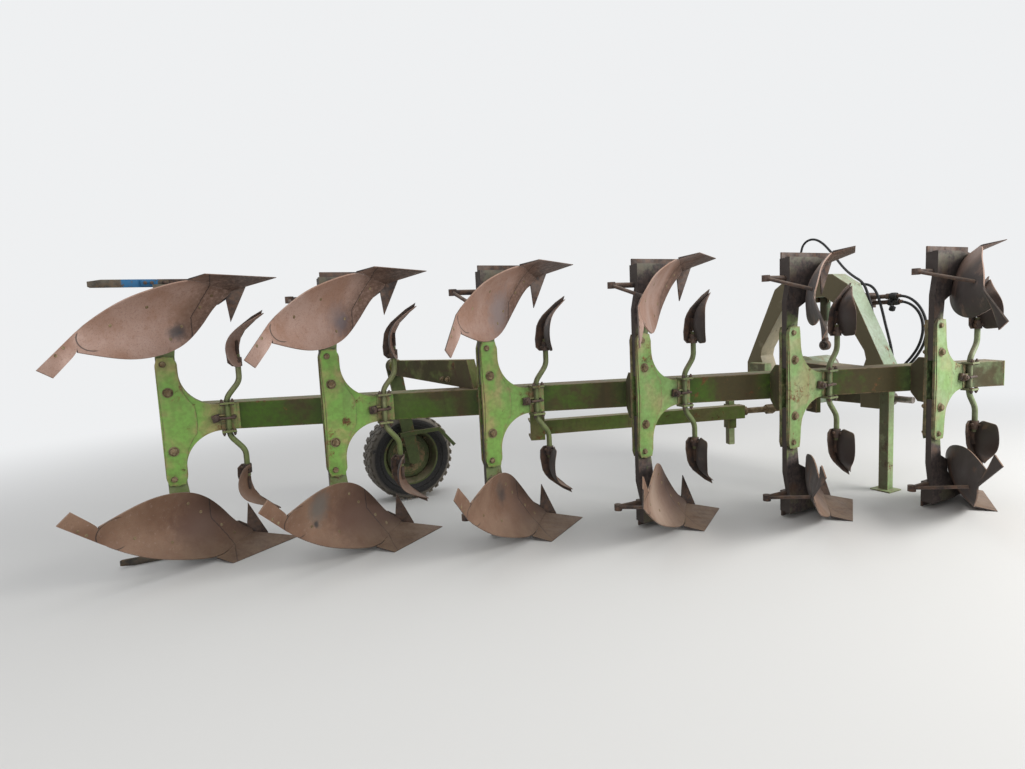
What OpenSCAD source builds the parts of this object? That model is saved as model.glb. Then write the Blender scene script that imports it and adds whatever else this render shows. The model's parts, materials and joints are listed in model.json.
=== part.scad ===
// Six-furrow mounted reversible plough, parked on its lower bodies.
// Working frame: +X is the travel direction, +Y is the left-hand side, +Z is up, and
// z = 0 is the centre of the main beam. placed() moves that frame to the part's origin,
// the middle of the floor rectangle.
// The upper and lower bodies mirror each other about the beam's middle plane, so a body
// is drawn with its share upwards and mirrored for the lower one.

/* [Layout] */
// Number of furrows, so the number of leg units along the beam
furrows = 6; // [2:1:8]
// Distance between neighbouring units along the travel direction
furrow_step = 900; // [800:10:1100]
// Width of one furrow
furrow_width = 410; // [300:5:500]
// Height of the beam's centre over the floor when parked on the shares
beam_z = 885; // [840:5:950]

/* [Main beam] */
// Height of the box beam
beam_h = 175; // [150:5:220]
// Width of the box beam
beam_w = 175; // [150:5:220]
// Wall of the box beam
beam_wall = 10; // [8:1:14]
// Length of beam ahead of the front unit's arm
beam_overhang = 234; // [150:5:400]
// Length of beam behind the rear unit's gusset
beam_tail = 15; // [5:1:60]
// Thickness of the plates that close the beam's ends
beam_cap_t = 8; // [5:1:12]

/* [Leg plates] */
// Thickness of one cheek plate
cheek_t = 16; // [12:1:20]
// Outside width over the two cheek plates of a unit
cheek_pair_w = 68; // [62:1:80]
// Distance of a cheek plate's rear edge behind the pivot bolts
cheek_rear = 56; // [50:1:70]
// Distance of a cheek plate's front edge ahead of the pivot bolts
cheek_front = 63; // [55:1:75]
// Height of a cheek plate's tip over the beam's centre
cheek_tip = 405; // [385:1:430]
// Distance from the pivot bolts to the beam's near face, along the travel direction
arm_reach = 392; // [360:2:440]
// Height of the cheek plate's arm
arm_h = 168; // [150:2:175]
// Radius of the hollow curve between arm and upright
arm_fillet = 215; // [150:5:230]
// Height of the pivot bolts over the beam's centre
pivot_z = 183.5; // [170:0.5:200]
// Height of the shear bolts over the beam's centre
shear_z = 359; // [340:1:370]
// Distance of the shear bolts behind the pivot bolts
shear_back = 13; // [0:1:20]
// Diameter of a pivot bolt
pivot_d = 24; // [20:1:30]
// Diameter of a shear bolt
shear_d = 16; // [12:1:20]
// Thickness of a rear gusset plate
gusset_t = 13; // [10:1:18]
// Height of a rear gusset plate over the beam's centre, at the cheek plates
gusset_z = 150; // [110:5:180]

/* [Bodies] */
// Thickness of a mouldboard
board_t = 8; // [6:0.5:10]
// Thickness of a share
share_t = 11; // [9:0.5:14]
// Thickness of a share's cutting edge
share_edge_t = 5; // [3:0.5:8]
// Thickness of a tail piece
tail_t = 8; // [6:0.5:10]
// Thickness of a landside plate
landside_t = 11; // [8:0.5:14]
// Length of a landside plate
landside_l = 500; // [430:5:520]
// Height of a landside plate
landside_h = 166; // [140:2:180]
// Place of a landside's outer face to the left of the near cheek plate
landside_y = 103; // [98:1:110]
// Thickness of a share knife
knife_t = 10; // [8:0.5:12]
// Height of a share knife over its foot
knife_h = 215; // [160:5:240]
// Diameter of a mouldboard stay
stay_d = 34; // [25:1:40]
// Length of the stay's eye bar behind the leg
stay_back = 195; // [150:5:220]

/* [Skimmers] */
// Diameter of the round skimmer stalk
stalk_d = 35; // [30:1:40]
// Place of the stalk ahead of the pivot bolts, at its clamp
stalk_x = 320; // [300:5:340]
// Forward jog of the stalk between clamp and skimmer
stalk_jog = 85; // [60:5:110]
// Height where the stalk's jog begins
jog_low = 122; // [115:1:140]
// Height where the stalk's jog ends
jog_high = 225; // [200:5:250]
// Height of the stalk's end
stalk_end = 395; // [370:5:420]
// Thickness of a skimmer board
skimmer_t = 7; // [5:0.5:9]

/* [Depth wheel] */
// Tyre diameter
tyre_d = 700; // [640:10:740]
// Tyre width
tyre_w = 235; // [180:5:240]
// Diameter of the rim's bead seat
rim_d = 440; // [400:5:460]
// Width over the rim's flanges
rim_w = 180; // [150:5:190]
// Diameter of the wheel's axle
axle_d = 50; // [40:1:60]
// Place of the wheel's centre ahead of the middle of the plough
wheel_x = -600; // [-640:5:-560]
// Place of the wheel's centre to the left of the middle of the plough
wheel_y = 1540; // [1500:5:1580]
// Place of the swing pivot ahead of the middle of the plough
swing_x = -720; // [-740:5:-700]
// Height of the swing pivot over the beam's centre
swing_z = 220; // [200:5:230]
// Diameter of the swing pivot
swing_d = 50; // [40:1:60]
// Thickness of the wheel's strut
strut_t = 25; // [20:1:30]
// Width of the cross arm that carries the wheel
cross_arm_w = 70; // [60:2:90]

/* [Turnover] */
// Place of the turnover axis to the left of the middle of the plough
turn_y = 120; // [100:5:140]
// Distance of the turnover housing's rear end behind the arch
housing_back = 50; // [30:5:70]
// Length of the turnover housing
housing_l = 290; // [260:5:320]
// Outside diameter of the turnover housing
housing_d = 210; // [190:5:230]
// Diameter of the turnover spindle
spindle_d = 120; // [100:5:130]
// Width of the arm between main beam and spindle
head_arm_w = 175; // [150:5:200]

/* [Headstock] */
// Depth of the arch section, along the travel direction
arch_d = 175; // [150:5:190]
// Rear face of the arch, ahead of the middle of the plough
arch_x = 2500; // [2490:5:2520]
// Width of an arch leg's rear face at its ankle
arch_ankle_w = 108; // [95:1:120]
// Width of an arch leg's rear face at its knee, under the crown
arch_knee_w = 149; // [130:1:165]
// Half width over the arch's feet
arch_foot = 640; // [620:1:650]
// Height of the arch's top over the beam's centre
arch_top = 785; // [740:5:800]
// Half width of the arch at its shoulders
arch_shoulder = 337; // [320:1:350]
// Depth of the arch's crown, between its top and the opening under it
arch_crown_h = 185; // [160:5:200]
// Centre height of the cross member, below the beam's centre
cross_z = 225; // [210:5:235]
// Height and depth of the cross member
cross_s = 110; // [100:2:120]
// Half the distance between the shoulders of the lower link pins
link_half = 583; // [540:1:600]
// Diameter of a link pin's collar
link_collar_d = 96; // [80:2:104]
// Thickness of a link pin's collar
link_collar_t = 25; // [12:1:30]
// Diameter of a lower link pin
link_pin_d = 50.8; // [36.6:0.1:51]
// Free length of a lower link pin
link_pin_l = 140; // [120:5:160]
// Diameter of the top link pin
top_pin_d = 45; // [31.8:0.1:46]
// Height of the top link pin over the lower link pins
mast_h = 920; // [880:5:940]
// Inside width between the top link plates
top_gap = 90; // [80:2:110]
// Height of the spare hole in the top link plates below the hole for the top link
spare_hole = 85; // [80:1:95]
// Side of the square front stand
stand_s = 70; // [60:2:76]
// Height that the front stand lifts
stand_lift = 420; // [300:10:430]
// Diameter of a hydraulic hose
hose_d = 20; // [14:1:24]
// Distance of the hose loop ahead of the arch's front face
hose_reach = 285; // [280:1:300]

/* [Stay beam] */
// Height of the stay beam
stay_beam_h = 100; // [80:5:110]
// Width of the stay beam
stay_beam_w = 80; // [60:5:90]
// Depth of the stay beam's centre below the main beam's centre
stay_beam_z = 250; // [235:5:260]
// Side of the square parking leg
leg_s = 50; // [40:2:60]
// Height of the parking leg's foot over the floor while it is raised
leg_lift = 370; // [300:5:380]

/* [Hidden] */
$fn = 48;

// Clearances: between seated pieces, around a bolt, and in a running fit
seat = 0.3;
bolt_gap = 0.3;
run_gap = 0.05;
// Air between a piece that moves and what it passes
air = 6;

// Layout
beam_angle = atan(furrow_width / furrow_step);
unit_pitch = norm([furrow_step, furrow_width]);
leg_t = cheek_pair_w - 2 * cheek_t - 2 * seat;
function unit_x(i) = (i - (furrows - 1) / 2) * furrow_step;
function unit_y(i) = -(i - (furrows - 1) / 2) * furrow_width;
// Distance from the line of pivots to the beam's near face, square to the beam
face_off = arm_reach * sin(beam_angle);
// A point of the working frame from its place along and across the beam
function on_beam(u, w) = [arm_reach + u * cos(beam_angle) + w * sin(beam_angle),
                          -u * sin(beam_angle) + w * cos(beam_angle)];
// Place along the beam of a unit's arm and of its gusset
function arm_u(i) = (i - (furrows - 1) / 2) * unit_pitch;
gusset_u = -(cheek_rear + arm_reach) * cos(beam_angle) - cheek_pair_w * sin(beam_angle);
beam_start = arm_u(0) + gusset_u - beam_tail;
beam_end = arm_u(furrows - 1) + beam_overhang;

// Body outline points, from the pivot bolts of a unit: forward, left, away from the beam
body_bottom = beam_z;
share_tip = [690, 40, body_bottom - share_edge_t];
share_wing = [262, -237, body_bottom - share_edge_t];
board_low = [[410, 72, 800], [291, -36, 827], [172, -145, 853], [-92, -266, 765],
             [-250, -352, 668], [-372, -410, 568]];
board_top = [[395, 72, 775], [305, 62, 700], [205, 50, 560], [75, -45, 445],
             [-130, -240, 404], [-362, -448, 466]];
board_bulge = [0, 16, 38, 52, 34, 5];
tail_end_low = [-515, -590, 392];
tail_end_top = [-462, -528, 346];
// Direction in which the boards are hollow, and the direction in which they face
hollow_dir = [-0.45, 0.72, 0.53];
face_dir = [0.53, -0.85, 0];
skim_low = [[563, -5, 655], [490, -75, 618], [430, -118, 555], [372, -150, 455]];
skim_top = [[545, 4, 640], [505, 6, 560], [478, 0, 460], [440, -48, 352]];
skim_bulge = [0, 12, 18, 10];

// Surfaces
function lerp(a, b, t) = a + (b - a) * t;
function unit(v) = v / norm(v);
function spline(p, s) =
    let (i = max(0, min(floor(s), len(p) - 2)), t = s - i,
         p0 = p[max(i - 1, 0)], p1 = p[i], p2 = p[i + 1], p3 = p[min(i + 2, len(p) - 1)])
    0.5 * (2 * p1 + (p2 - p0) * t + (2 * p0 - 5 * p1 + 4 * p2 - p3) * t * t
           + (3 * p1 - p0 - 3 * p2 + p3) * t * t * t);
function board_at(low, top, bulge, s, v) =
    let (a = spline(low, s), b = spline(top, s), m = (a + b) / 2 + 2 * spline(bulge, s) * hollow_dir)
    a * (1 - v) * (1 - v) + m * 2 * v * (1 - v) + b * v * v;
function board_normal(low, top, bulge, s, v, e = 0.01) =
    unit(cross(board_at(low, top, bulge, s + e, v) - board_at(low, top, bulge, s - e, v),
               board_at(low, top, bulge, s, v + e) - board_at(low, top, bulge, s, v - e)));
// A skin of grid points from row i0 to row i1, set back by depth behind the working face
function skin(low, top, bulge, ns, nv, depth, shift = [0, 0, 0], i0 = 0, i1 = -1) =
    [for (i = [i0 : i1 < 0 ? ns : i1]) for (j = [0 : nv])
        let (s = i * (len(low) - 1) / ns, v = j / nv)
        board_at(low, top, bulge, s, v) - depth * board_normal(low, top, bulge, s, v) + shift];

// A closed plate between two skins, where b lies on the side that the skins face
module plate_between(a, b, ns, nv) {
    m = nv + 1;
    k = (ns + 1) * m;
    function id(i, j) = i * m + j;
    back = [for (i = [0 : ns - 1]) for (j = [0 : nv - 1]) each
        [[id(i, j), id(i + 1, j), id(i + 1, j + 1)], [id(i, j), id(i + 1, j + 1), id(i, j + 1)]]];
    front = [for (f = back) [k + f[0], k + f[2], k + f[1]]];
    bottom = [for (i = [0 : ns - 1]) each
        [[id(i, 0), k + id(i, 0), k + id(i + 1, 0)], [id(i, 0), k + id(i + 1, 0), id(i + 1, 0)]]];
    top = [for (i = [0 : ns - 1]) each
        [[id(i, nv), id(i + 1, nv), k + id(i + 1, nv)], [id(i, nv), k + id(i + 1, nv), k + id(i, nv)]]];
    start = [for (j = [0 : nv - 1]) each
        [[id(0, j), id(0, j + 1), k + id(0, j + 1)], [id(0, j), k + id(0, j + 1), k + id(0, j)]]];
    end = [for (j = [0 : nv - 1]) each
        [[id(ns, j), k + id(ns, j), k + id(ns, j + 1)], [id(ns, j), k + id(ns, j + 1), id(ns, j + 1)]]];
    polyhedron(points = concat(a, b), faces = concat(back, front, bottom, top, start, end));
}

// Tail piece: its first edge on the mouldboard's rear edge, its gap there and its normal
tail_start_low = board_low[len(board_low) - 1];
tail_start_top = board_top[len(board_top) - 1];
joint_gap = 0.5;
tail_step = joint_gap * unit(tail_end_low + tail_end_top - tail_start_low - tail_start_top);
tail_end_normal = unit(cross(tail_end_low - tail_start_low, tail_start_top - tail_start_low));
board_end = len(board_low) - 1;
function tail_normal(t, v) =
    unit(lerp(board_normal(board_low, board_top, board_bulge, board_end, v), tail_end_normal, t));
tail_corner = tail_end_low + tail_step;
tail_corner_back = tail_corner - tail_t * tail_end_normal;

// Frames of reference
rear_x = unit_x(0) + min(tail_corner[0], tail_corner_back[0]);
front_x = max(unit_x(furrows - 1) + share_tip[0], arch_x + arch_d + hose_reach + hose_d / 2);
right_y = unit_y(furrows - 1) + min(tail_corner[1], tail_corner_back[1]);
axle_end = tyre_w / 2 + 4;
left_y = wheel_y + axle_end;
module placed() {
    translate([-(rear_x + front_x) / 2, -(right_y + left_y) / 2, beam_z]) children();
}
module each_unit() {
    for (i = [0 : furrows - 1]) translate([unit_x(i), unit_y(i), 0]) children();
}
module up_and_down() {
    children();
    mirror([0, 0, 1]) children();
}
// Children drawn along the beam: x along it, y across it from the near face, z up
module beam_frame() {
    translate([arm_reach, 0, 0]) rotate([0, 0, -beam_angle]) children();
}
// An outline drawn in x and z, made into a plate from y0 to y1
module side_plate(y0, y1) {
    translate([0, y1, 0]) rotate([90, 0, 0]) linear_extrude(y1 - y0) children();
}
// A round bar between two points
module bar(a, b, d) {
    v = b - a;
    l = norm(v);
    translate(a) rotate([0, acos(v[2] / l), atan2(v[1], v[0])]) cylinder(d = d, h = l);
}

// Main beam
module main_beam() {
    color("darkseagreen") placed() beam_frame() difference() {
        translate([beam_start, 0, -beam_h / 2]) cube([beam_end - beam_start, beam_w, beam_h]);
        translate([beam_start - 1, beam_wall, beam_wall - beam_h / 2])
            cube([beam_end - beam_start + 2, beam_w - 2 * beam_wall, beam_h - 2 * beam_wall]);
    }
}
module beam_caps() {
    color("darkseagreen") placed() beam_frame() for (u = [beam_start - beam_cap_t - seat, beam_end + seat])
        translate([u, 0, -beam_h / 2]) cube([beam_cap_t, beam_w, beam_h]);
}

// Cheek plates
module cheek_outline() {
    tip_r = (cheek_rear + cheek_front) / 2;
    mid_x = (cheek_front - cheek_rear) / 2;
    difference() {
        union() {
            translate([-cheek_rear, -cheek_tip + tip_r]) square([2 * tip_r, 2 * (cheek_tip - tip_r)]);
            for (z = [-1, 1]) translate([mid_x, z * (cheek_tip - tip_r)]) circle(r = tip_r, $fn = 64);
            translate([0, -arm_h / 2]) square([arm_reach + 40, arm_h]);
            translate([0, -arm_h / 2 - arm_fillet])
                square([cheek_front + arm_fillet, arm_h + 2 * arm_fillet]);
        }
        for (z = [-1, 1]) translate([cheek_front + arm_fillet, z * (arm_h / 2 + arm_fillet)])
            circle(r = arm_fillet, $fn = 96);
        for (z = [-1, 1]) {
            translate([0, z * pivot_z]) circle(d = pivot_d + 2 * bolt_gap);
            translate([-shear_back, z * shear_z]) circle(d = shear_d + 2 * bolt_gap);
        }
    }
}
module cheek_plates() {
    color("yellowgreen") placed() each_unit() for (y = [0, cheek_pair_w - cheek_t]) difference() {
        side_plate(y, y + cheek_t) cheek_outline();
        beam_side(-seat);
    }
}
// Everything that lies across the beam's near face, moved by a gap
module beam_side(gap) {
    translate([arm_reach, 0, 0]) rotate([0, 0, -beam_angle])
        translate([-1000, gap, -500]) cube([2000, 600, 1000]);
}
module gussets() {
    foot = [-cheek_rear, cheek_pair_w + seat];
    reach = (face_off - foot[0] * sin(beam_angle) - foot[1] * cos(beam_angle)) ;
    color("darkseagreen") placed() each_unit() difference() {
        translate([foot[0], foot[1], 0]) rotate([0, 0, -beam_angle]) intersection() {
            translate([0, -30, -gusset_z]) cube([gusset_t, reach + 30 - seat, 2 * gusset_z]);
            rotate([0, 90, 0]) linear_extrude(gusset_t) polygon([
                [-gusset_z, -30], [-gusset_z, reach * 0.45], [-beam_h / 2 - 6, reach],
                [beam_h / 2 + 6, reach], [gusset_z, reach * 0.45], [gusset_z, -30]]);
        }
        translate([-500, foot[1] - 200, -500]) cube([1000, 200, 1000]);
    }
}

// Bolts through the cheek plates, along y
module hex_bolt(d, flats, head, length, washer_d) {
    rotate([-90, 0, 0]) {
        translate([0, 0, -2 - head]) cylinder(d = flats / cos(30), h = head, $fn = 6);
        translate([0, 0, -2]) cylinder(d = washer_d, h = 2 - 0.2);
        translate([0, 0, -0.2]) cylinder(d = d, h = length + 0.4);
        translate([0, 0, length + 0.2]) cylinder(d = washer_d, h = 2);
        translate([0, 0, length + 2.2]) cylinder(d = flats / cos(30), h = head, $fn = 6);
        translate([0, 0, length + 2.2 + head]) cylinder(d = d, h = 8);
    }
}
module pivot_bolts() {
    color("peru") placed() each_unit() for (z = [-1, 1]) translate([0, 0, z * pivot_z])
        hex_bolt(pivot_d, 36, 16, cheek_pair_w, 60);
}
module shear_bolts() {
    color("peru") placed() each_unit() for (z = [-1, 1]) translate([-shear_back, 0, z * shear_z])
        hex_bolt(shear_d, 27, 11, cheek_pair_w, 38);
}

// Leg and frog of one body, drawn upwards
board_ns = 12;
board_nv = 4;
// The space that the mouldboard and all before it fill, between two rows of its grid
module board_cutter(i0, i1) {
    depth = board_t + seat;
    plate_between(skin(board_low, board_top, board_bulge, board_ns, board_nv, depth, i0 = i0, i1 = i1),
                  skin(board_low, board_top, board_bulge, board_ns, board_nv, depth, 420 * face_dir,
                       i0, i1),
                  i1 - i0, board_nv);
}
frog_front = 366;
frog_rear = 20;
// The first rows of the mouldboard's grid, which lie before the frog, and its last, before the stay
frog_rows = 8;
stay_rows = 7;
module frog() {
    leg_y = cheek_t + seat;
    difference() {
        union() {
            side_plate(leg_y, leg_y + leg_t) polygon([
                [-50, 130], [55, 130], [55, 400], [70, 520], [150, 560], [270, 690],
                [330, 745], [frog_front, 790], [frog_front, 815], [250, 845], [-frog_rear, 845],
                [-frog_rear, 690], [-50, 560]]);
            side_plate(leg_y, landside_y - landside_t - seat) polygon([
                [-frog_rear, 700], [265, 700], [330, 760], [frog_front, 790], [frog_front, 812],
                [250, 840], [-frog_rear, 840]]);
        }
        board_cutter(0, frog_rows);
        share_cutter();
        translate([0, 0, pivot_z]) rotate([-90, 0, 0])
            cylinder(d = pivot_d + 2 * bolt_gap, h = 2 * cheek_pair_w);
        translate([-shear_back, 0, shear_z]) rotate([-90, 0, 0])
            cylinder(d = shear_d + 2 * bolt_gap, h = 2 * cheek_pair_w);
    }
}
module frogs() {
    color("sienna") placed() each_unit() up_and_down() frog();
}

// Mouldboard of one body
module mouldboards() {
    color("rosybrown") placed() each_unit() up_and_down()
        plate_between(skin(board_low, board_top, board_bulge, board_ns, board_nv, board_t),
                      skin(board_low, board_top, board_bulge, board_ns, board_nv, 0),
                      board_ns, board_nv);
}

// Share of one body: from the cutting edge back to the mouldboard's front edge
share_ns = 6;
function share_row(i) = let (s = 2 * i / share_ns, edge = lerp(share_tip, share_wing, i / share_ns),
                             back = spline(board_low, s))
    [edge, back + joint_gap * unit(edge - back)];
share_top = [for (i = [0 : share_ns]) each share_row(i)];
share_bottom = [for (i = [0 : share_ns]) let (r = share_row(i)) each
    [[r[0][0], r[0][1], body_bottom], r[1] + [0, 0, share_t]]];
module shares() {
    color("indianred") placed() each_unit() up_and_down()
        plate_between(share_bottom, share_top, share_ns, 1);
}
module share_cutter() {
    plate_between([for (p = share_bottom) p + [0, 0, seat]],
                  [for (p = share_top) p - [0, 0, 30]], share_ns, 1);
}

// Tail piece of one body: a strip behind the mouldboard's rear edge
module tail_pieces() {
    n = 2;
    top = [for (i = [0 : n]) for (j = [0 : board_nv]) let (v = j / board_nv)
        lerp(board_at(board_low, board_top, board_bulge, board_end, v),
             lerp(tail_end_low, tail_end_top, v), i / n) + tail_step];
    back = [for (i = [0 : n]) for (j = [0 : board_nv])
        top[i * (board_nv + 1) + j] - tail_t * tail_normal(i / n, j / board_nv)];
    color("rosybrown") placed() each_unit() up_and_down() plate_between(back, top, n, board_nv);
}

// Landside and knife of one body
module landsides() {
    low = body_bottom - 3;
    color("saddlebrown") placed() each_unit() up_and_down()
        side_plate(landside_y - landside_t, landside_y) polygon([
            [0, low], [0, low - landside_h], [landside_l - 170, low - landside_h],
            [landside_l, low - 50], [landside_l, low]]);
}
module knives() {
    foot = body_bottom - 40;
    y1 = landside_y - landside_t - seat;
    color("saddlebrown") placed() each_unit() up_and_down() side_plate(y1 - knife_t, y1) polygon([
        [372, foot], [372, foot - 65], [392, foot - knife_h - 30], [500, foot - 20], [500, foot]]);
}

// Stay of one body: an eye bar behind the frog and a brace out to the mouldboard
module board_stays() {
    z = 712;
    y = 55;
    color("saddlebrown") placed() each_unit() up_and_down() difference() {
        union() {
            translate([-stay_back, y, z]) rotate([0, 90, 0])
                cylinder(d = stay_d, h = stay_back - frog_rear - seat);
            translate([-stay_back, y, z - stay_d / 2 - 3])
                cylinder(d = stay_d + 16, h = stay_d + 6);
            bar([-stay_back, y, z], [-225, -345, 606], 22);
        }
        board_cutter(stay_rows, board_ns);
    }
}

// Skimmer stalk: one round bar with a jog up and a jog down
stalk_y = -stalk_d / 2 - 5;
module stalks() {
    points = [[stalk_x + stalk_jog, stalk_y, -stalk_end], [stalk_x + stalk_jog, stalk_y, -jog_high],
              [stalk_x, stalk_y, -jog_low], [stalk_x, stalk_y, jog_low],
              [stalk_x + stalk_jog, stalk_y, jog_high], [stalk_x + stalk_jog, stalk_y, stalk_end]];
    color("olivedrab") placed() each_unit() {
        for (k = [0 : len(points) - 2]) bar(points[k], points[k + 1], stalk_d);
        for (k = [1 : len(points) - 2]) translate(points[k]) sphere(d = stalk_d);
    }
}
clamp_w = 84;
clamp_plate_t = 12;
// How far a clamp plate reaches over the cheek plate, short of the beam
clamp_reach = 10;
module stalk_clamps() {
    x0 = stalk_x - clamp_w / 2;
    y0 = stalk_y - stalk_d / 2 - 22;
    z0 = arm_h / 2 + seat;
    color("olivedrab") placed() each_unit() up_and_down() difference() {
        translate([x0, y0, z0]) cube([clamp_w, clamp_reach - y0, clamp_plate_t]);
        translate([stalk_x, stalk_y, 0]) cylinder(d = stalk_d + 2 * bolt_gap, h = 200);
        for (s = [-1, 1]) translate([stalk_x + s * 31, y0 + 12, 0])
            cylinder(d = 12 + 2 * bolt_gap, h = 200);
    }
}
module clamp_bolts() {
    y = stalk_y - stalk_d / 2 - 10;
    l = arm_h + 2 * seat + 2 * clamp_plate_t;
    color("peru") placed() each_unit() for (s = [-1, 1]) translate([stalk_x + s * 31, y, 0]) {
        translate([0, 0, -l / 2 - 18]) cylinder(d = 12, h = l + 36);
        for (z = [-l / 2 - 10 - 0.2, l / 2 + 0.2]) translate([0, 0, z])
            cylinder(d = 19 / cos(30), h = 10, $fn = 6);
    }
}

// Skimmer of one body, drawn upwards
skim_ns = 9;
skim_nv = 3;
// The space that the skimmer board and all before it fill, with a margin beyond its low and top edges
skim_margin = 0.12;
function skim_row(i, depth, shift) = let (s = i * (len(skim_low) - 1) / skim_ns)
    [for (v = [-skim_margin, for (j = [0 : skim_nv]) j / skim_nv, 1 + skim_margin])
        board_at(skim_low, skim_top, skim_bulge, s, v)
            - depth * board_normal(skim_low, skim_top, skim_bulge, s, v) + shift];
module skimmer_cutter() {
    depth = skimmer_t + seat;
    plate_between([for (i = [0 : skim_ns]) each skim_row(i, depth, [0, 0, 0])],
                  [for (i = [0 : skim_ns]) each skim_row(i, depth, 260 * face_dir)],
                  skim_ns, skim_nv + 2);
}
module skimmer_brackets() {
    x = stalk_x + stalk_jog;
    y0 = stalk_y + stalk_d / 2 + seat;
    color("saddlebrown") placed() each_unit() up_and_down() difference() {
        union() {
            side_plate(y0, y0 + 10) polygon([
                [x - 25, 300], [x + 25, 300], [x + 62, 400], [x + 108, 560], [x + 118, 600],
                [x + 60, 560], [x - 25, 400]]);
            translate([x, stalk_y, 320]) cylinder(d = stalk_d + 18, h = 60);
        }
        translate([x, stalk_y, 250]) cylinder(d = stalk_d + 2 * bolt_gap, h = 200);
        skimmer_cutter();
    }
}
module skimmer_boards() {
    color("sienna") placed() each_unit() up_and_down()
        plate_between(skin(skim_low, skim_top, skim_bulge, skim_ns, skim_nv, skimmer_t),
                      skin(skim_low, skim_top, skim_bulge, skim_ns, skim_nv, 0),
                      skim_ns, skim_nv);
}

// Arm from the main beam to the turnover spindle, square to the beam
housing_x = arch_x - housing_back;
head_end = [housing_x - 90, turn_y];
head_u = (head_end[0] - arm_reach) * cos(beam_angle) - head_end[1] * sin(beam_angle);
head_w = (head_end[0] - arm_reach) * sin(beam_angle) + head_end[1] * cos(beam_angle);
head_z = 85;
spindle_start = head_end[0] - 60;
boss_d = 230;
boss_t = 20;
module head_arm() {
    color("darkseagreen") placed() difference() {
        union() {
            beam_frame() translate([head_u - head_arm_w / 2, beam_w + seat, -head_z])
                cube([head_arm_w, head_w - beam_w - seat, 2 * head_z]);
            translate([spindle_start - boss_t, turn_y, 0]) rotate([0, 90, 0])
                cylinder(d = boss_d, h = housing_x - air - spindle_start + boss_t);
            screw_lug();
        }
        translate([spindle_start - seat, turn_y, 0]) rotate([0, 90, 0])
            cylinder(d = spindle_d + 2 * bolt_gap, h = 600);
    }
}
module spindle() {
    l = housing_x + housing_l + 45 - spindle_start;
    color("gray") placed() translate([spindle_start, turn_y, 0]) rotate([0, 90, 0])
        cylinder(d = spindle_d, h = l);
    color("darkseagreen") placed() translate([housing_x + housing_l + air, turn_y, 0])
        rotate([0, 90, 0]) difference() {
            cylinder(d = 200, h = 24);
            translate([0, 0, -1]) cylinder(d = spindle_d - 1, h = 26);
        }
}

// Stay beam behind the main beam, from a rear bracket to the head arm
stay_rear = [20, 530];
stay_front = head_end + [-760, -90];
stay_angle = atan2(stay_front[1] - stay_rear[1], stay_front[0] - stay_rear[0]);
stay_length = norm(stay_front - stay_rear);
stay_pin_d = 25;
stay_pin_back = 30;
stay_pin = stay_rear + stay_pin_back * [cos(stay_angle), sin(stay_angle)];
module stay_frame() {
    translate([stay_rear[0], stay_rear[1], -stay_beam_z]) rotate([0, 0, stay_angle]) children();
}
parking_x = stay_length - 60;
module stay_beam() {
    color("darkseagreen") placed() stay_frame() difference() {
        union() {
            translate([0, -stay_beam_w / 2, -stay_beam_h / 2])
                cube([stay_length, stay_beam_w, stay_beam_h]);
            translate([parking_x - leg_s / 2 - 8, stay_beam_w / 2 - 8, -stay_beam_h / 2])
                cube([leg_s + 16, leg_s + 16 + 8, stay_beam_h]);
        }
        translate([parking_x - leg_s / 2 - run_gap, stay_beam_w / 2 + 8 - run_gap, -100])
            cube([leg_s + 2 * run_gap, leg_s + 2 * run_gap, 200]);
        translate([stay_pin_back, 0, -100]) cylinder(d = stay_pin_d + 2 * bolt_gap, h = 200);
    }
}
module parking_leg() {
    foot = -(beam_z - stay_beam_z) + leg_lift;
    color("yellowgreen") placed() stay_frame()
        translate([parking_x - leg_s / 2, stay_beam_w / 2 + 8, foot])
            cube([leg_s, leg_s, stay_beam_h / 2 + 60 - foot]);
}
module stay_bracket() {
    u = (stay_pin[0] - arm_reach) * cos(beam_angle) - stay_pin[1] * sin(beam_angle);
    w = (stay_pin[0] - arm_reach) * sin(beam_angle) + stay_pin[1] * cos(beam_angle);
    z1 = -stay_beam_z + stay_beam_h / 2 + seat;
    z0 = -stay_beam_z - stay_beam_h / 2 - seat;
    color("darkseagreen") placed() beam_frame() {
        difference() {
            union() {
                translate([u - 50, beam_w + seat, z0 - 14]) cube([100, 30, z1 - z0 + 14 + 170]);
                translate([u - 50, beam_w + seat, z1]) cube([100, w - beam_w + 50, 14]);
                translate([u - 50, beam_w + seat, z0 - 14]) cube([100, w - beam_w + 50, 14]);
            }
            translate([u, w, z0 - 50]) cylinder(d = stay_pin_d + 2 * bolt_gap, h = 300);
        }
        translate([u, w, z0 - 20]) cylinder(d = stay_pin_d, h = z1 - z0 + 40);
    }
}
screw_end = 590;
module stay_screw() {
    color("dimgray") placed() stay_frame() translate([stay_length + seat, 0, 0]) rotate([0, 90, 0]) {
        cylinder(d = 70, h = 30);
        cylinder(d = 45, h = screw_end);
        translate([0, 0, 200]) cylinder(d = 75, h = 60, $fn = 6);
    }
}
// The lug under the head arm that takes the screw's end
module screw_lug() {
    end = stay_rear + (stay_length + seat + screw_end + seat) * [cos(stay_angle), sin(stay_angle)];
    translate([end[0], end[1], 0]) rotate([0, 0, stay_angle])
        translate([0, -60, -stay_beam_z - 50]) cube([40, 120, stay_beam_z + 50]);
}

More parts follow.
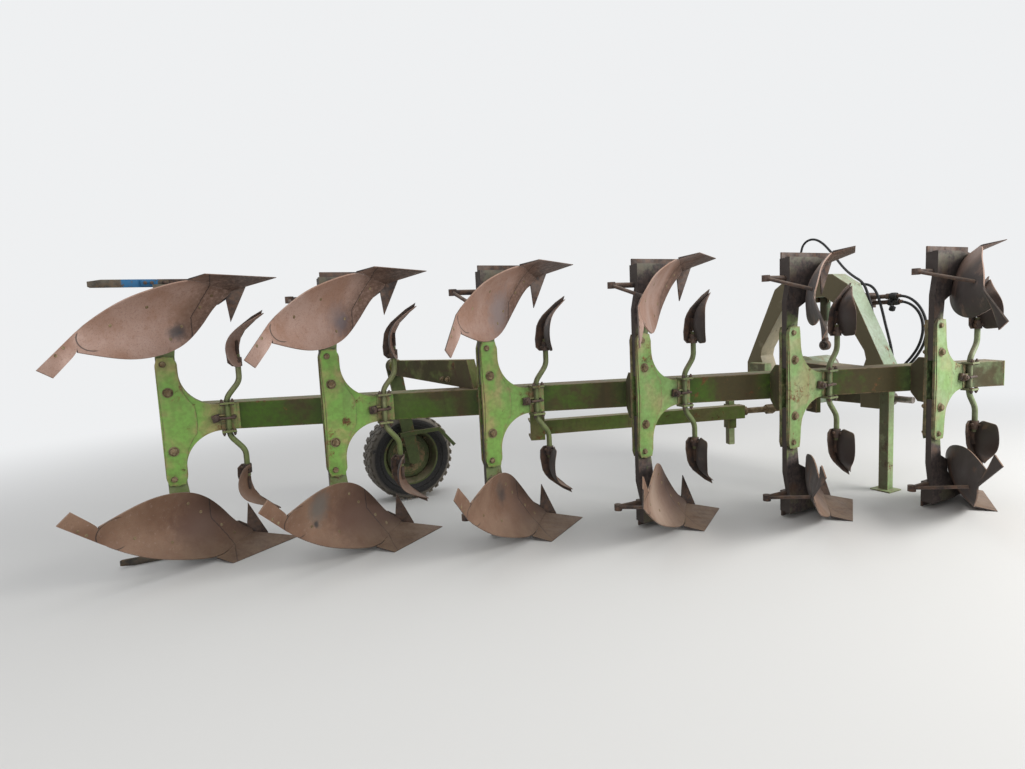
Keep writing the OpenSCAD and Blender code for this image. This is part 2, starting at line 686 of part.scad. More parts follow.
// Cross arm that carries the depth wheel
arm_root = [-440, 400];
arm_tip = [swing_x + 15, wheel_y - tyre_w / 2 - 27.5 - strut_t - 10];
module cross_arm() {
    l = norm(arm_tip - arm_root);
    heading = atan2(arm_tip[1] - arm_root[1], arm_tip[0] - arm_root[0]);
    z0 = beam_h / 2 + seat;
    color("yellowgreen") placed() {
        translate([arm_root[0], arm_root[1], 0]) rotate([0, 0, heading])
            translate([0, cross_arm_w / 2, 0]) rotate([90, 0, 0]) linear_extrude(cross_arm_w)
                polygon([[8, z0], [72, 280], [l, 262], [l, 150], [170, 95], [160, z0]]);
        translate([swing_x, arm_tip[1] - 60, swing_z]) rotate([-90, 0, 0])
            cylinder(d = 110, h = 60 + 4);
        translate([swing_x, arm_tip[1], swing_z]) rotate([-90, 0, 0])
            cylinder(d = swing_d, h = 10 + strut_t + 12);
    }
}

// Wheel leg: strut with swing boss and axle stub
strut_y = wheel_y - tyre_w / 2 - 27.5 - strut_t;
hub_z = tyre_d / 2 - beam_z;
module strut() {
    a = [swing_x, swing_z];
    b = [wheel_x, hub_z];
    side = unit([a[1] - b[1], b[0] - a[0]]);
    color("olivedrab") placed() {
        difference() {
            side_plate(strut_y, strut_y + strut_t) union() {
                polygon([a + 58 * side, b + 45 * side, b - 45 * side, a - 58 * side]);
                translate(a) circle(d = 116);
                translate(b) circle(d = 90);
            }
            translate([a[0], strut_y - 50, a[1]]) rotate([-90, 0, 0])
                cylinder(d = swing_d + 2 * run_gap, h = 200);
        }
        translate([b[0], strut_y + strut_t, b[1]]) rotate([-90, 0, 0]) {
            cylinder(d = 80, h = 22);
            cylinder(d = axle_d, h = wheel_y + axle_end - strut_y - strut_t);
        }
    }
}
module scraper() {
    y0 = strut_y - 8 - seat;
    color("darkkhaki") placed() side_plate(y0, y0 + 8) polygon([
        [-700, -352], [-640, -345], [-385, -335], [-262, -478], [-240, -462], [-375, -303],
        [-640, -310], [-706, -316]]);
}
module rim() {
    r = rim_d / 2;
    w = rim_w / 2;
    color("olive") placed() translate([wheel_x, wheel_y, hub_z]) rotate([-90, 0, 0]) rotate_extrude($fn = 96)
        polygon([[axle_d / 2 + run_gap, -w + 20], [55, -w + 20], [55, -20], [r - 45, -20], [r - 30, -10],
                 [r - 12, -w + 10], [r - 5, -w], [r + 18, -w], [r + 18, -w + 6], [r, -w + 8],
                 [r, w - 8], [r + 18, w - 6], [r + 18, w], [r - 5, w], [r - 12, w - 10], [r - 20, 5],
                 [r - 45, -6], [55, -6], [55, w - 30], [axle_d / 2 + run_gap, w - 30]]);
}
module tyre() {
    r0 = rim_d / 2 + seat;
    r1 = tyre_d / 2;
    w0 = rim_w / 2 - 8 - seat;
    w1 = tyre_w / 2;
    color("black") placed() translate([wheel_x, wheel_y, hub_z]) rotate([-90, 0, 0]) rotate_extrude($fn = 96)
        polygon([[r0, -w0], [r0 + 20, -w0], [r0 + 30, -w1 + 12], [r0 + 60, -w1], [r1 - 40, -w1 + 2],
                 [r1 - 12, -w1 + 22], [r1, -w1 + 60], [r1, w1 - 60], [r1 - 12, w1 - 22],
                 [r1 - 40, w1 - 2], [r0 + 60, w1], [r0 + 30, w1 - 12], [r0 + 20, w0], [r0, w0]]);
}

// Headstock. The arch is drawn about the turnover axis: y across, z up
module headstock_frame() {
    translate([0, turn_y, 0]) children();
}
arch_foot_z = -cross_z - cross_s / 2;
arch_front = arch_x + arch_d;
// Half of the arch's outline: its outer edge from foot to crown, and its inner edge from crown to foot
ankle_z = 165;
knee_z = 430;
arch_outer = [[arch_foot - 40, arch_foot_z], [arch_foot, -50], [arch_foot, 40],
              [arch_foot - 57, ankle_z], [arch_shoulder, arch_top - 95],
              [arch_shoulder - 51, arch_top - 62], [arch_shoulder - 129, arch_top - 8],
              [arch_shoulder - 217, arch_top]];
arch_knee = lerp(arch_outer[3], arch_outer[4], (knee_z - ankle_z) / (arch_top - 95 - ankle_z));
arch_inner = [[0, arch_top - arch_crown_h], [arch_shoulder - 197, arch_top - arch_crown_h],
              [arch_shoulder - 87, arch_top - arch_crown_h - 80], arch_knee - [arch_knee_w, 0],
              arch_outer[3] - [arch_ankle_w, 0], [arch_foot - 150, 100], [arch_foot - 190, -20],
              [arch_foot - 190, arch_foot_z]];
function flipped(p) = [for (k = [len(p) - 1 : -1 : 0]) [-p[k][0], p[k][1]]];
module arch() {
    inner = [for (k = [1 : len(arch_inner) - 1]) arch_inner[k]];
    color("darkkhaki") placed() headstock_frame() translate([arch_x, 0, 0])
        rotate([90, 0, 90]) linear_extrude(arch_d)
            polygon(concat(arch_outer, flipped(arch_outer), flipped(arch_inner), inner));
}
// Cross member on the front faces of the arch's feet
cross_x = arch_front + seat + cross_s / 2;
cross_half = link_half - link_collar_t - seat;
module cross_member() {
    color("darkseagreen") placed() headstock_frame() difference() {
        translate([cross_x - cross_s / 2, -cross_half, -cross_z - cross_s / 2])
            cube([cross_s, 2 * cross_half, cross_s]);
        for (s = [-1, 1]) translate([cross_x, s * (cross_half - link_pin_hold), -cross_z])
            rotate([s * -90, 0, 0]) cylinder(d = link_pin_d + 2 * bolt_gap, h = 200);
    }
}
link_pin_hold = 100;
module link_pins() {
    color("gray") placed() headstock_frame() for (s = [-1, 1])
        translate([cross_x, s * (cross_half - link_pin_hold + seat), -cross_z]) rotate([s * -90, 0, 0]) {
            cylinder(d = link_pin_d, h = link_pin_hold + link_collar_t + link_pin_l);
            translate([0, 0, link_pin_hold]) cylinder(d = link_collar_d, h = link_collar_t);
        }
}
top_pin_z = mast_h - cross_z;
top_pin_x = arch_front + 115;
top_plate_t = 20;
module top_link_plates() {
    color("darkseagreen") placed() headstock_frame() for (s = [-1, 1])
        translate([0, s * (top_gap + top_plate_t) / 2, 0]) difference() {
            side_plate(-top_plate_t / 2, top_plate_t / 2) polygon([
                [arch_front + seat, top_pin_z - spare_hole - 55],
                [top_pin_x + 30, top_pin_z - spare_hole - 45],
                [top_pin_x + 48, top_pin_z - spare_hole], [top_pin_x + 48, top_pin_z],
                [top_pin_x + 30, top_pin_z + 45], [arch_front + seat, top_pin_z + 60]]);
            for (z = [top_pin_z, top_pin_z - spare_hole])
                translate([top_pin_x, -50, z]) rotate([-90, 0, 0])
                    cylinder(d = top_pin_d + 2 * bolt_gap, h = 100);
        }
}
// The top link's pin, kept in the spare hole
module top_link_pin() {
    l = top_gap + 2 * top_plate_t + 60;
    color("gray") placed() headstock_frame() translate([top_pin_x, -l / 2, top_pin_z - spare_hole])
        rotate([-90, 0, 0]) cylinder(d = top_pin_d, h = l);
}
housing_web_w = 220;
module housing() {
    color("darkkhaki") placed() headstock_frame() difference() {
        union() {
            translate([housing_x, 0, 0]) rotate([0, 90, 0]) cylinder(d = housing_d, h = housing_l);
            translate([arch_x, -housing_web_w / 2, arch_foot_z])
                cube([arch_d, housing_web_w, -arch_foot_z]);
        }
        translate([housing_x - 1, 0, 0]) rotate([0, 90, 0])
            cylinder(d = spindle_d + 2 * run_gap, h = housing_l + 2);
    }
}

// Turnover ram between the arch's crown and the spindle's front end
ram_d = 80;
ram_off = ram_d / 2 + 2;
ram_x = arch_front + ram_off;
ram_low = 400;
ram_top = arch_top - 52;
ram_eye_z = 190;
module ram_barrel() {
    color("darkolivegreen") placed() headstock_frame() translate([ram_x, 0, 0]) {
        translate([0, 0, ram_low]) cylinder(d = ram_d, h = ram_top - ram_low);
        translate([seat - ram_off, 0, ram_top]) rotate([0, 90, 0]) cylinder(d = ram_d - 10, h = 60);
    }
}
module ram_rod() {
    color("silver") placed() headstock_frame() translate([ram_x, 0, 0]) {
        translate([0, 0, ram_eye_z]) cylinder(d = 45, h = ram_low - ram_eye_z - seat);
        translate([-20, 0, ram_eye_z]) rotate([0, 90, 0]) cylinder(d = 76, h = 40);
    }
}

// Front stand behind the arch's right foot, in a socket that is welded to the foot
socket_wall = 9;
socket_z = -115;
socket_h = 110;
stand_x = arch_x - seat - socket_wall - stand_s / 2;
stand_y = arch_foot + air + 2 + stand_s / 2;
module stand_socket() {
    inner = arch_foot - 170;
    color("darkseagreen") placed() headstock_frame() difference() {
        union() {
            translate([stand_x - stand_s / 2 - socket_wall, -stand_y - stand_s / 2 - socket_wall, socket_z])
                cube([stand_s + 2 * socket_wall, stand_s + 2 * socket_wall, socket_h]);
            translate([arch_x - seat - 2 * socket_wall, -stand_y, socket_z])
                cube([2 * socket_wall, stand_y - inner, socket_h]);
        }
        translate([stand_x - stand_s / 2 - run_gap, -stand_y - stand_s / 2 - run_gap, socket_z - 10])
            cube([stand_s + 2 * run_gap, stand_s + 2 * run_gap, socket_h + 20]);
    }
}
module stand_leg() {
    color("yellowgreen") placed() headstock_frame() {
        translate([stand_x - stand_s / 2, -stand_y - stand_s / 2, -beam_z + 10])
            cube([stand_s, stand_s, beam_z - 10 + socket_z + socket_h + 20]);
        translate([stand_x - 75, -stand_y - 75, -beam_z]) cube([150, 150, 10]);
    }
}

// Stop block behind the arch's left foot
stop_block_size = [90, 170, 85];
stop_block_z = -45;
module stop_block() {
    color("yellowgreen") placed() headstock_frame()
        translate([arch_x - seat - stop_block_size[0], arch_foot - 270, stop_block_z]) cube(stop_block_size);
}

// Hose rack on the right-hand side of the arch: a plate with two parked couplers
rack_y = -360;
rack_z = 552;
rack_t = 12;
coupler_d = 34;
coupler_l = 190;
coupler_x = [105, 130];
coupler_z = [rack_z + 23, rack_z - 22];
coupler_end = rack_y + 15 - coupler_l;
module hose_rack() {
    color("dimgray") placed() headstock_frame() translate([arch_front, 0, 0]) {
        translate([seat, rack_y, rack_z - 60]) cube([165, rack_t, 120]);
        for (k = [0, 1]) translate([coupler_x[k], coupler_end, coupler_z[k]]) rotate([-90, 0, 0])
            cylinder(d = coupler_d, h = coupler_l);
    }
}

// Routes of the hoses: ahead of the arch's front face, left of the turnover axis, height.
// They end on top of the cross member.
hose_end_z = -cross_z + cross_s / 2 + seat;
loop_route = [[seat, 285, 650], [40, 285, 650], [82, 297, 664], [125, 316, 692], [165, 338, 738],
              [203, 362, 800], [236, 384, 872], [262, 402, 945], [277, 412, 997],
              [hose_reach, 411, 1043], [hose_reach, 394, 1088], [hose_reach, 360, 1119],
              [hose_reach, 316, 1131], [hose_reach, 268, 1124], [284, 222, 1100], [278, 175, 1064],
              [266, 120, 1012], [250, 62, 955], [225, 0, 893], [190, -70, 835], [148, -145, 787],
              [105, -220, 748], [68, -285, 717], [40, -335, 680], [25, -368, 630], [19, -395, 560],
              [17, -418, 470], [17, -432, 370], [18, -447, 270], [20, -465, 180], [24, -486, 90],
              [27, -500, 0], [28, -505, -80], [28, -505, -140], [28, -505, hose_end_z]];
leg_route = [[seat, -140, 668], [22, -140, 668], [52, -149, 672], [78, -171, 678],
             [96, -207, 685], [104, -252, 688], [107, -295, 686], [104, -335, 676],
             [97, -370, 656], [87, -399, 628], [77, -424, 590], [70, -447, 535], [66, -472, 455],
             [65, -495, 365], [65, -520, 270], [65, -542, 180], [64, -556, 90], [61, -557, 0],
             [57, -547, -80], [56, -541, -140], [56, -541, hose_end_z]];
upper_route = [[coupler_x[0], coupler_end - seat, coupler_z[0]], [105, -580, 574], [105, -622, 566],
               [105, -663, 546], [105, -703, 512], [106, -737, 465], [108, -762, 405],
               [110, -774, 340], [111, -772, 270], [111, -755, 200], [110, -724, 135],
               [107, -684, 75], [102, -640, 22], [96, -597, -27], [91, -560, -80], [89, -545, -130],
               [89, -543, hose_end_z]];
lower_route = [[coupler_x[1], coupler_end - seat, coupler_z[1]], [130, -575, 529], [130, -613, 521],
               [130, -652, 501], [131, -688, 468], [133, -716, 422], [135, -732, 365],
               [136, -735, 300], [136, -724, 235], [135, -700, 170], [132, -664, 108],
               [126, -621, 50], [117, -577, -2], [106, -535, -55], [97, -505, -105],
               [93, -496, -140], [93, -496, hose_end_z]];
hose_sides = 8;
function heading(p, k) = unit(p[min(k + 1, len(p) - 1)] - p[max(k - 1, 0)]);
function square_to(v, along) = unit(v - (v * along) * along);
// Directions across a route at its points, each turned as little as can be from the one before it
function across_at(p) =
    [for (k = 0, v = square_to([0.1, 0.3, 1], heading(p, 0)); k < len(p);
          k = k + 1, v = square_to(v, heading(p, min(k, len(p) - 1)))) v];
function hose_ring(p, k, v) =
    [for (q = [0 : hose_sides - 1]) let (a = 360 * q / hose_sides)
        p[k] + hose_d / 2 * (cos(a) * v + sin(a) * cross(heading(p, k), v))];
module hose(p) {
    n = len(p);
    m = hose_sides;
    across = across_at(p);
    walls = [for (k = [0 : n - 2]) for (q = [0 : m - 1]) let (r = (q + 1) % m) each
        [[k * m + q, k * m + r, k * m + m + r], [k * m + q, k * m + m + r, k * m + m + q]]];
    ends = [[for (q = [m - 1 : -1 : 0]) q], [for (q = [0 : m - 1]) (n - 1) * m + q]];
    polyhedron(points = [for (k = [0 : n - 1]) each hose_ring(p, k, across[k])],
               faces = concat(walls, ends));
}
module hoses() {
    color("black") placed() headstock_frame() translate([arch_front, 0, 0])
        for (p = [loop_route, leg_route, upper_route, lower_route]) hose(p);
}

main_beam();
beam_caps();
cheek_plates();
gussets();
pivot_bolts();
shear_bolts();
frogs();
mouldboards();
shares();
tail_pieces();
landsides();
knives();
board_stays();
stalks();
stalk_clamps();
clamp_bolts();
skimmer_brackets();
skimmer_boards();
head_arm();
spindle();
stay_beam();
stay_bracket();
stay_screw();
cross_arm();
parking_leg();
strut();
scraper();
rim();
tyre();
arch();
cross_member();
link_pins();
top_link_plates();
top_link_pin();
housing();
ram_barrel();
ram_rod();
stand_socket();
stand_leg();
stop_block();
hose_rack();
hoses();
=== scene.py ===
"""Six-furrow mounted reversible plough: finish, fittings, hoses, floor, light and camera."""
import json
import math

import bmesh
import bpy
from mathutils import Matrix, Vector, geometry
from mathutils.bvhtree import BVHTree


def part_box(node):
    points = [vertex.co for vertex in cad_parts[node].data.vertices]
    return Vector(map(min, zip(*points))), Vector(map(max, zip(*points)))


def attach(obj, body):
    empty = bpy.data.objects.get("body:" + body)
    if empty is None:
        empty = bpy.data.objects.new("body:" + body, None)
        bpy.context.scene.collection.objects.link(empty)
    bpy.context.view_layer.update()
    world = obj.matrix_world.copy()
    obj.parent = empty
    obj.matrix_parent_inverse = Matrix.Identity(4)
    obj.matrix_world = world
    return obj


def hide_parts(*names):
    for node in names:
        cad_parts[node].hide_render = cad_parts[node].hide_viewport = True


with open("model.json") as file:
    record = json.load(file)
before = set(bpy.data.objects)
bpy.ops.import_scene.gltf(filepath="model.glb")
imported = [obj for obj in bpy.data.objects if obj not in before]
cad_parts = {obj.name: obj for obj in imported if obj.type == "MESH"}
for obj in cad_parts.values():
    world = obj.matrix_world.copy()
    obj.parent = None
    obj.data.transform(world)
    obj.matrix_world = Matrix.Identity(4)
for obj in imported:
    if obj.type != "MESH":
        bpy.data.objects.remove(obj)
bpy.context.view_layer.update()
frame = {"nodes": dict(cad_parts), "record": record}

# Layout, in metres. A place is given as in the plough's own working frame: ahead of the
# middle of the plough, to the left of it, and above the centre of the main beam.
FURROWS = 6
FURROW_STEP = 0.900
FURROW_WIDTH = 0.410
BEAM_Z = 0.885
CHEEK_PAIR_W = 0.068
PIVOT_Z = 0.1835
SHEAR_Z = 0.359
SHEAR_BACK = 0.013
TURN_Y = 0.120
ARCH_X = 2.500
ARCH_D = 0.175
ARCH_FRONT = ARCH_X + ARCH_D
CROSS_Z = 0.225
CROSS_S = 0.110
WHEEL = (-0.600, 1.540, -0.535)
SWING_X = -0.720
SWING_Z = 0.220
TYRE_W = 0.235
RIM_R = 0.220
HOSE_D = 0.020

BOLT_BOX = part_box("pivot_bolts")
CHEEK_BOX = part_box("cheek_plates")
ORIGIN = Vector(((BOLT_BOX[0].x + BOLT_BOX[1].x) / 2,
                 (CHEEK_BOX[0].y + CHEEK_BOX[1].y) / 2 - CHEEK_PAIR_W / 2,
                 BEAM_Z))


def at(x, y, z):
    """A place of the working frame as a point of the part's frame."""
    return ORIGIN + Vector((x, y, z))


def unit_shift(i):
    """How many steps leg unit i is ahead of the middle of the plough."""
    return i - (FURROWS - 1) / 2


def unit_at(i, x, y, z):
    """A place given from the pivot line of leg unit i."""
    k = unit_shift(i)
    return at(k * FURROW_STEP + x, -k * FURROW_WIDTH + y, z)


def head_at(x, y, z):
    """A place ahead of the arch's front face, left of the turnover axis."""
    return at(ARCH_FRONT + x, TURN_Y + y, z)


# Camera, behind and to the right of the plough
CAMERA_AT = (-2.0712, -3.2156, 0.5083)
CAMERA_TURN = math.radians(62.482)
CAMERA_DOWN = math.radians(5.835)
CAMERA_ROLL = math.radians(-2.765)
FOCAL_PX = 601.05
SENSOR_MM = 36
PHOTO_W = 1025


def add_camera():
    camera = bpy.data.cameras.new("camera")
    camera.sensor_width = SENSOR_MM
    camera.lens = SENSOR_MM * FOCAL_PX / PHOTO_W
    camera.clip_end = 200
    obj = bpy.data.objects.new("camera", camera)
    bpy.context.scene.collection.objects.link(obj)
    turn = (Matrix.Rotation(CAMERA_TURN - math.pi / 2, 4, "Z")
            @ Matrix.Rotation(math.pi / 2 - CAMERA_DOWN, 4, "X")
            @ Matrix.Rotation(CAMERA_ROLL, 4, "Z"))
    obj.matrix_world = Matrix.Translation(at(*CAMERA_AT)) @ turn
    bpy.context.scene.camera = obj


add_camera()

# Hoses, as routes ahead of the arch's front face, left of the turnover axis, and in height
HOSE_END_Z = -CROSS_Z + CROSS_S / 2 + 0.0003
LOOP_ROUTE = [
    (.0003, .285, .650), (.040, .285, .650), (.082, .297, .664), (.125, .316, .692), (.165, .338, .738),
    (.203, .362, .800), (.236, .384, .872), (.262, .402, .945), (.277, .412, .997), (.285, .411, 1.043),
    (.285, .394, 1.088), (.285, .360, 1.119), (.285, .316, 1.131), (.285, .268, 1.124),
    (.284, .222, 1.100), (.278, .175, 1.064), (.266, .120, 1.012), (.250, .062, .955),
    (.225, 0, .893), (.190, -.070, .835), (.148, -.145, .787), (.105, -.220, .748),
    (.068, -.285, .717), (.040, -.335, .680), (.025, -.368, .630), (.019, -.395, .560),
    (.017, -.418, .470), (.017, -.432, .370), (.018, -.447, .270), (.020, -.465, .180),
    (.024, -.486, .090), (.027, -.500, 0), (.028, -.505, -.080), (.028, -.505, -.140),
    (.028, -.505, HOSE_END_Z)]
LEG_ROUTE = [
    (.0003, -.140, .668), (.022, -.140, .668), (.052, -.149, .672), (.078, -.171, .678),
    (.096, -.207, .685), (.104, -.252, .688), (.107, -.295, .686), (.104, -.335, .676),
    (.097, -.370, .656), (.087, -.399, .628), (.077, -.424, .590), (.070, -.447, .535),
    (.066, -.472, .455), (.065, -.495, .365), (.065, -.520, .270), (.065, -.542, .180),
    (.064, -.556, .090), (.061, -.557, 0), (.057, -.547, -.080), (.056, -.541, -.140),
    (.056, -.541, HOSE_END_Z)]
UPPER_ROUTE = [
    (.105, -.5353, .575), (.105, -.580, .574), (.105, -.622, .566), (.105, -.663, .546),
    (.105, -.703, .512), (.106, -.737, .465), (.108, -.762, .405), (.110, -.774, .340),
    (.111, -.772, .270), (.111, -.755, .200), (.110, -.724, .135), (.107, -.684, .075),
    (.102, -.640, .022), (.096, -.597, -.027), (.091, -.560, -.080), (.089, -.545, -.130),
    (.089, -.543, HOSE_END_Z)]
LOWER_ROUTE = [
    (.130, -.5353, .530), (.130, -.575, .529), (.130, -.613, .521), (.130, -.652, .501),
    (.131, -.688, .468), (.133, -.716, .422), (.135, -.732, .365), (.136, -.735, .300),
    (.136, -.724, .235), (.135, -.700, .170), (.132, -.664, .108), (.126, -.621, .050),
    (.117, -.577, -.002), (.106, -.535, -.055), (.097, -.505, -.105), (.093, -.496, -.140),
    (.093, -.496, HOSE_END_Z)]


def mesh_object(name, bm):
    mesh = bpy.data.meshes.new(name)
    bm.to_mesh(mesh)
    bm.free()
    obj = bpy.data.objects.new(name, mesh)
    bpy.context.scene.collection.objects.link(obj)
    return obj


def smooth_by_angle(obj, degrees):
    mesh = obj.data
    mesh.polygons.foreach_set("use_smooth", [True] * len(mesh.polygons))
    mesh.set_sharp_from_angle(angle=math.radians(degrees))


def swept(name, routes, radius, steps=6):
    """A mesh of round bars that follow smooth routes, and the points that each bar follows."""
    data = bpy.data.curves.new(name, "CURVE")
    data.dimensions = "3D"
    data.bevel_depth = radius
    data.bevel_resolution = 4
    data.resolution_u = steps
    data.use_fill_caps = True
    paths = []
    for route in routes:
        spline = data.splines.new("BEZIER")
        spline.bezier_points.add(len(route) - 1)
        for k, point in enumerate(spline.bezier_points):
            before = route[max(k - 1, 0)]
            after = route[min(k + 1, len(route) - 1)]
            heading = (after - before).normalized()
            point.handle_left_type = point.handle_right_type = "FREE"
            point.co = route[k]
            point.handle_left = route[k] - heading * (route[k] - before).length / 3
            point.handle_right = route[k] + heading * (after - route[k]).length / 3
        path = [route[0]]
        for one, two in zip(spline.bezier_points[:-1], spline.bezier_points[1:]):
            bend = geometry.interpolate_bezier(one.co, one.handle_right, two.handle_left, two.co, steps + 1)
            path += bend[1:]
        paths.append(path)
    bar = bpy.data.objects.new(name + "_line", data)
    bpy.context.scene.collection.objects.link(bar)
    bpy.context.view_layer.update()
    mesh = bpy.data.meshes.new_from_object(bar.evaluated_get(bpy.context.evaluated_depsgraph_get()))
    bpy.data.objects.remove(bar)
    mesh.name = name
    obj = bpy.data.objects.new(name, mesh)
    bpy.context.scene.collection.objects.link(obj)
    smooth_by_angle(obj, 40)
    return obj, paths


def add_hoses():
    """The four hoses, each swept along its route."""
    hoses = []
    for name, route in (("loop_hose", LOOP_ROUTE), ("leg_hose", LEG_ROUTE),
                        ("upper_coupler_hose", UPPER_ROUTE), ("lower_coupler_hose", LOWER_ROUTE)):
        hose, paths = swept(name, [[head_at(*p) for p in route]], HOSE_D / 2)
        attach(hose, "headstock")
        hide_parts("hoses")
        hoses.append(hose)
    return hoses


HOSES = add_hoses()


# Shader nodes
def put(tree, kind, values=None, **settings):
    """Adds a shader node. values sets its sockets by name or number, or links them."""
    node = tree.nodes.new(kind)
    for key, value in settings.items():
        setattr(node, key, value)
    for key, value in (values or {}).items():
        if isinstance(value, bpy.types.NodeSocket):
            tree.links.new(value, node.inputs[key])
        else:
            node.inputs[key].default_value = value
    return node


def math_node(tree, operation, a, b=None, clamp=False):
    values = {0: a}
    if b is not None:
        values[1] = b
    return put(tree, "ShaderNodeMath", values, operation=operation, use_clamp=clamp).outputs[0]


def times(tree, a, b, clamp=False):
    return math_node(tree, "MULTIPLY", a, b, clamp)


def plus(tree, a, b):
    return math_node(tree, "ADD", a, b)


def minus(tree, a, b, clamp=False):
    return math_node(tree, "SUBTRACT", a, b, clamp)


def larger(tree, a, b):
    return math_node(tree, "MAXIMUM", a, b)


def off(tree, a):
    """How far a is from zero."""
    return math_node(tree, "ABSOLUTE", a)


def own_place(tree):
    """The place on the piece, in the part's frame."""
    return put(tree, "ShaderNodeTexCoord").outputs["Object"]


def axis_of(tree, vector, axis):
    return put(tree, "ShaderNodeSeparateXYZ", {0: vector}).outputs[axis]


def ramp(tree, value, low, high, out_low=0.0, out_high=1.0):
    """Value from low to high as out_low to out_high, held at both ends."""
    return put(tree, "ShaderNodeMapRange",
               {"Value": value, "From Min": low, "From Max": high, "To Min": out_low, "To Max": out_high},
               interpolation_type="SMOOTHSTEP").outputs["Result"]


def blend(tree, mask, a, b):
    """Colour a where mask is 0 and colour b where it is 1."""
    node = put(tree, "ShaderNodeMix", data_type="RGBA")
    for k, value in ((0, mask), (6, a), (7, b)):
        if isinstance(value, bpy.types.NodeSocket):
            tree.links.new(value, node.inputs[k])
        else:
            node.inputs[k].default_value = (*value, 1) if k else value
    return node.outputs[2]


def noise_at(tree, vector, scale, detail=4.0, rough=0.55, distortion=0.0):
    return put(tree, "ShaderNodeTexNoise",
               {"Vector": vector, "Scale": scale, "Detail": detail, "Roughness": rough,
                "Distortion": distortion}).outputs["Fac"]


# Floor, light and backdrop
BACKDROP = (0.86, 0.87, 0.88, 1)
# Distances from the plough at which the floor starts and ends its fade into the backdrop
FLOOR_FADE = (3.2, 9.0)


def add_floor():
    """A pale floor that fades into the backdrop well beyond the plough."""
    bm = bmesh.new()
    bmesh.ops.create_circle(bm, cap_ends=True, segments=96, radius=60)
    floor = mesh_object("floor", bm)
    mat = bpy.data.materials.new("pale_floor")
    mat.use_nodes = True
    tree = mat.node_tree
    shader = tree.nodes["Principled BSDF"]
    shader.inputs["Base Color"].default_value = (0.66, 0.655, 0.64, 1)
    shader.inputs["Roughness"].default_value = 0.9
    away = put(tree, "ShaderNodeVectorMath", {0: own_place(tree)}, operation="LENGTH").outputs["Value"]
    ray = put(tree, "ShaderNodeLightPath").outputs["Is Camera Ray"]
    fade = times(tree, ramp(tree, away, *FLOOR_FADE), ray)
    glow = put(tree, "ShaderNodeEmission", {"Color": BACKDROP, "Strength": 1.0})
    mixed = put(tree, "ShaderNodeMixShader", {0: fade, 1: shader.outputs[0], 2: glow.outputs[0]})
    tree.links.new(mixed.outputs[0], tree.nodes["Material Output"].inputs["Surface"])
    floor.data.materials.append(mat)


def add_lamp(name, place, target, size, power, colour):
    lamp = bpy.data.lights.new(name, "AREA")
    lamp.shape = "RECTANGLE"
    lamp.size, lamp.size_y = size
    lamp.energy = power
    lamp.color = colour
    obj = bpy.data.objects.new(name, lamp)
    bpy.context.scene.collection.objects.link(obj)
    obj.location = at(*place)
    obj.rotation_euler = (at(*target) - at(*place)).to_track_quat("-Z", "Y").to_euler()


def add_world():
    world = bpy.data.worlds.new("studio")
    bpy.context.scene.world = world
    world.use_nodes = True
    tree = world.node_tree
    tree.nodes.clear()
    ray = put(tree, "ShaderNodeLightPath").outputs
    seen = larger(tree, larger(tree, ray["Is Camera Ray"], ray["Is Glossy Ray"]), ray["Is Transmission Ray"])
    light = put(tree, "ShaderNodeBackground", {"Color": (0.95, 0.97, 1.0, 1), "Strength": 0.50})
    white = put(tree, "ShaderNodeBackground", {"Color": BACKDROP, "Strength": 1.0})
    mixed = put(tree, "ShaderNodeMixShader", {0: seen, 1: light.outputs[0], 2: white.outputs[0]})
    put(tree, "ShaderNodeOutputWorld", {0: mixed.outputs[0]})


add_floor()
add_world()
add_lamp("open_side", (5.6, -5.6, 3.3), (0.4, 0, 0), (5, 3.4), 640, (1.0, 0.99, 0.97))
add_lamp("rear_fill", (-6.0, -4.5, 2.6), (-1.0, 0, 0), (4, 3), 105, (1.0, 0.97, 0.94))
add_lamp("overhead", (0.0, 0.8, 5.6), (0.0, 0, 0), (8, 6), 150, (0.98, 0.99, 1.0))
bpy.context.scene.view_settings.view_transform = "Standard"


# Effects that the finishes share, each a node group
def shared(name, work, outputs=("Mask",), **inputs):
    """A node group with the given inputs. work gives its outputs from the tree and the inputs."""
    tree = bpy.data.node_groups.new(name, "ShaderNodeTree")
    for key, value in inputs.items():
        kind = "NodeSocketVector" if isinstance(value, tuple) else "NodeSocketFloat"
        tree.interface.new_socket(name=key, in_out="INPUT", socket_type=kind).default_value = value
    for key in outputs:
        kind = "NodeSocketColor" if key == "Colour" else "NodeSocketFloat"
        tree.interface.new_socket(name=key, in_out="OUTPUT", socket_type=kind)
    start = tree.nodes.new("NodeGroupInput")
    end = tree.nodes.new("NodeGroupOutput")
    for key, socket in zip(outputs, work(tree, start.outputs)):
        tree.links.new(socket, end.inputs[key])
    return tree


def edge_wear(tree, values):
    rounded = put(tree, "ShaderNodeBevel", {"Radius": values["Width"]}, samples=4).outputs[0]
    face = put(tree, "ShaderNodeNewGeometry").outputs["Normal"]
    turned = put(tree, "ShaderNodeVectorMath", {0: rounded, 1: face},
                 operation="DOT_PRODUCT").outputs["Value"]
    spots = noise_at(tree, own_place(tree), values["Scale"], 5.0, 0.65)
    worn = times(tree, ramp(tree, turned, 0.998, 0.93), ramp(tree, spots, 0.38, 0.60))
    return [times(tree, worn, values["Amount"], clamp=True)]


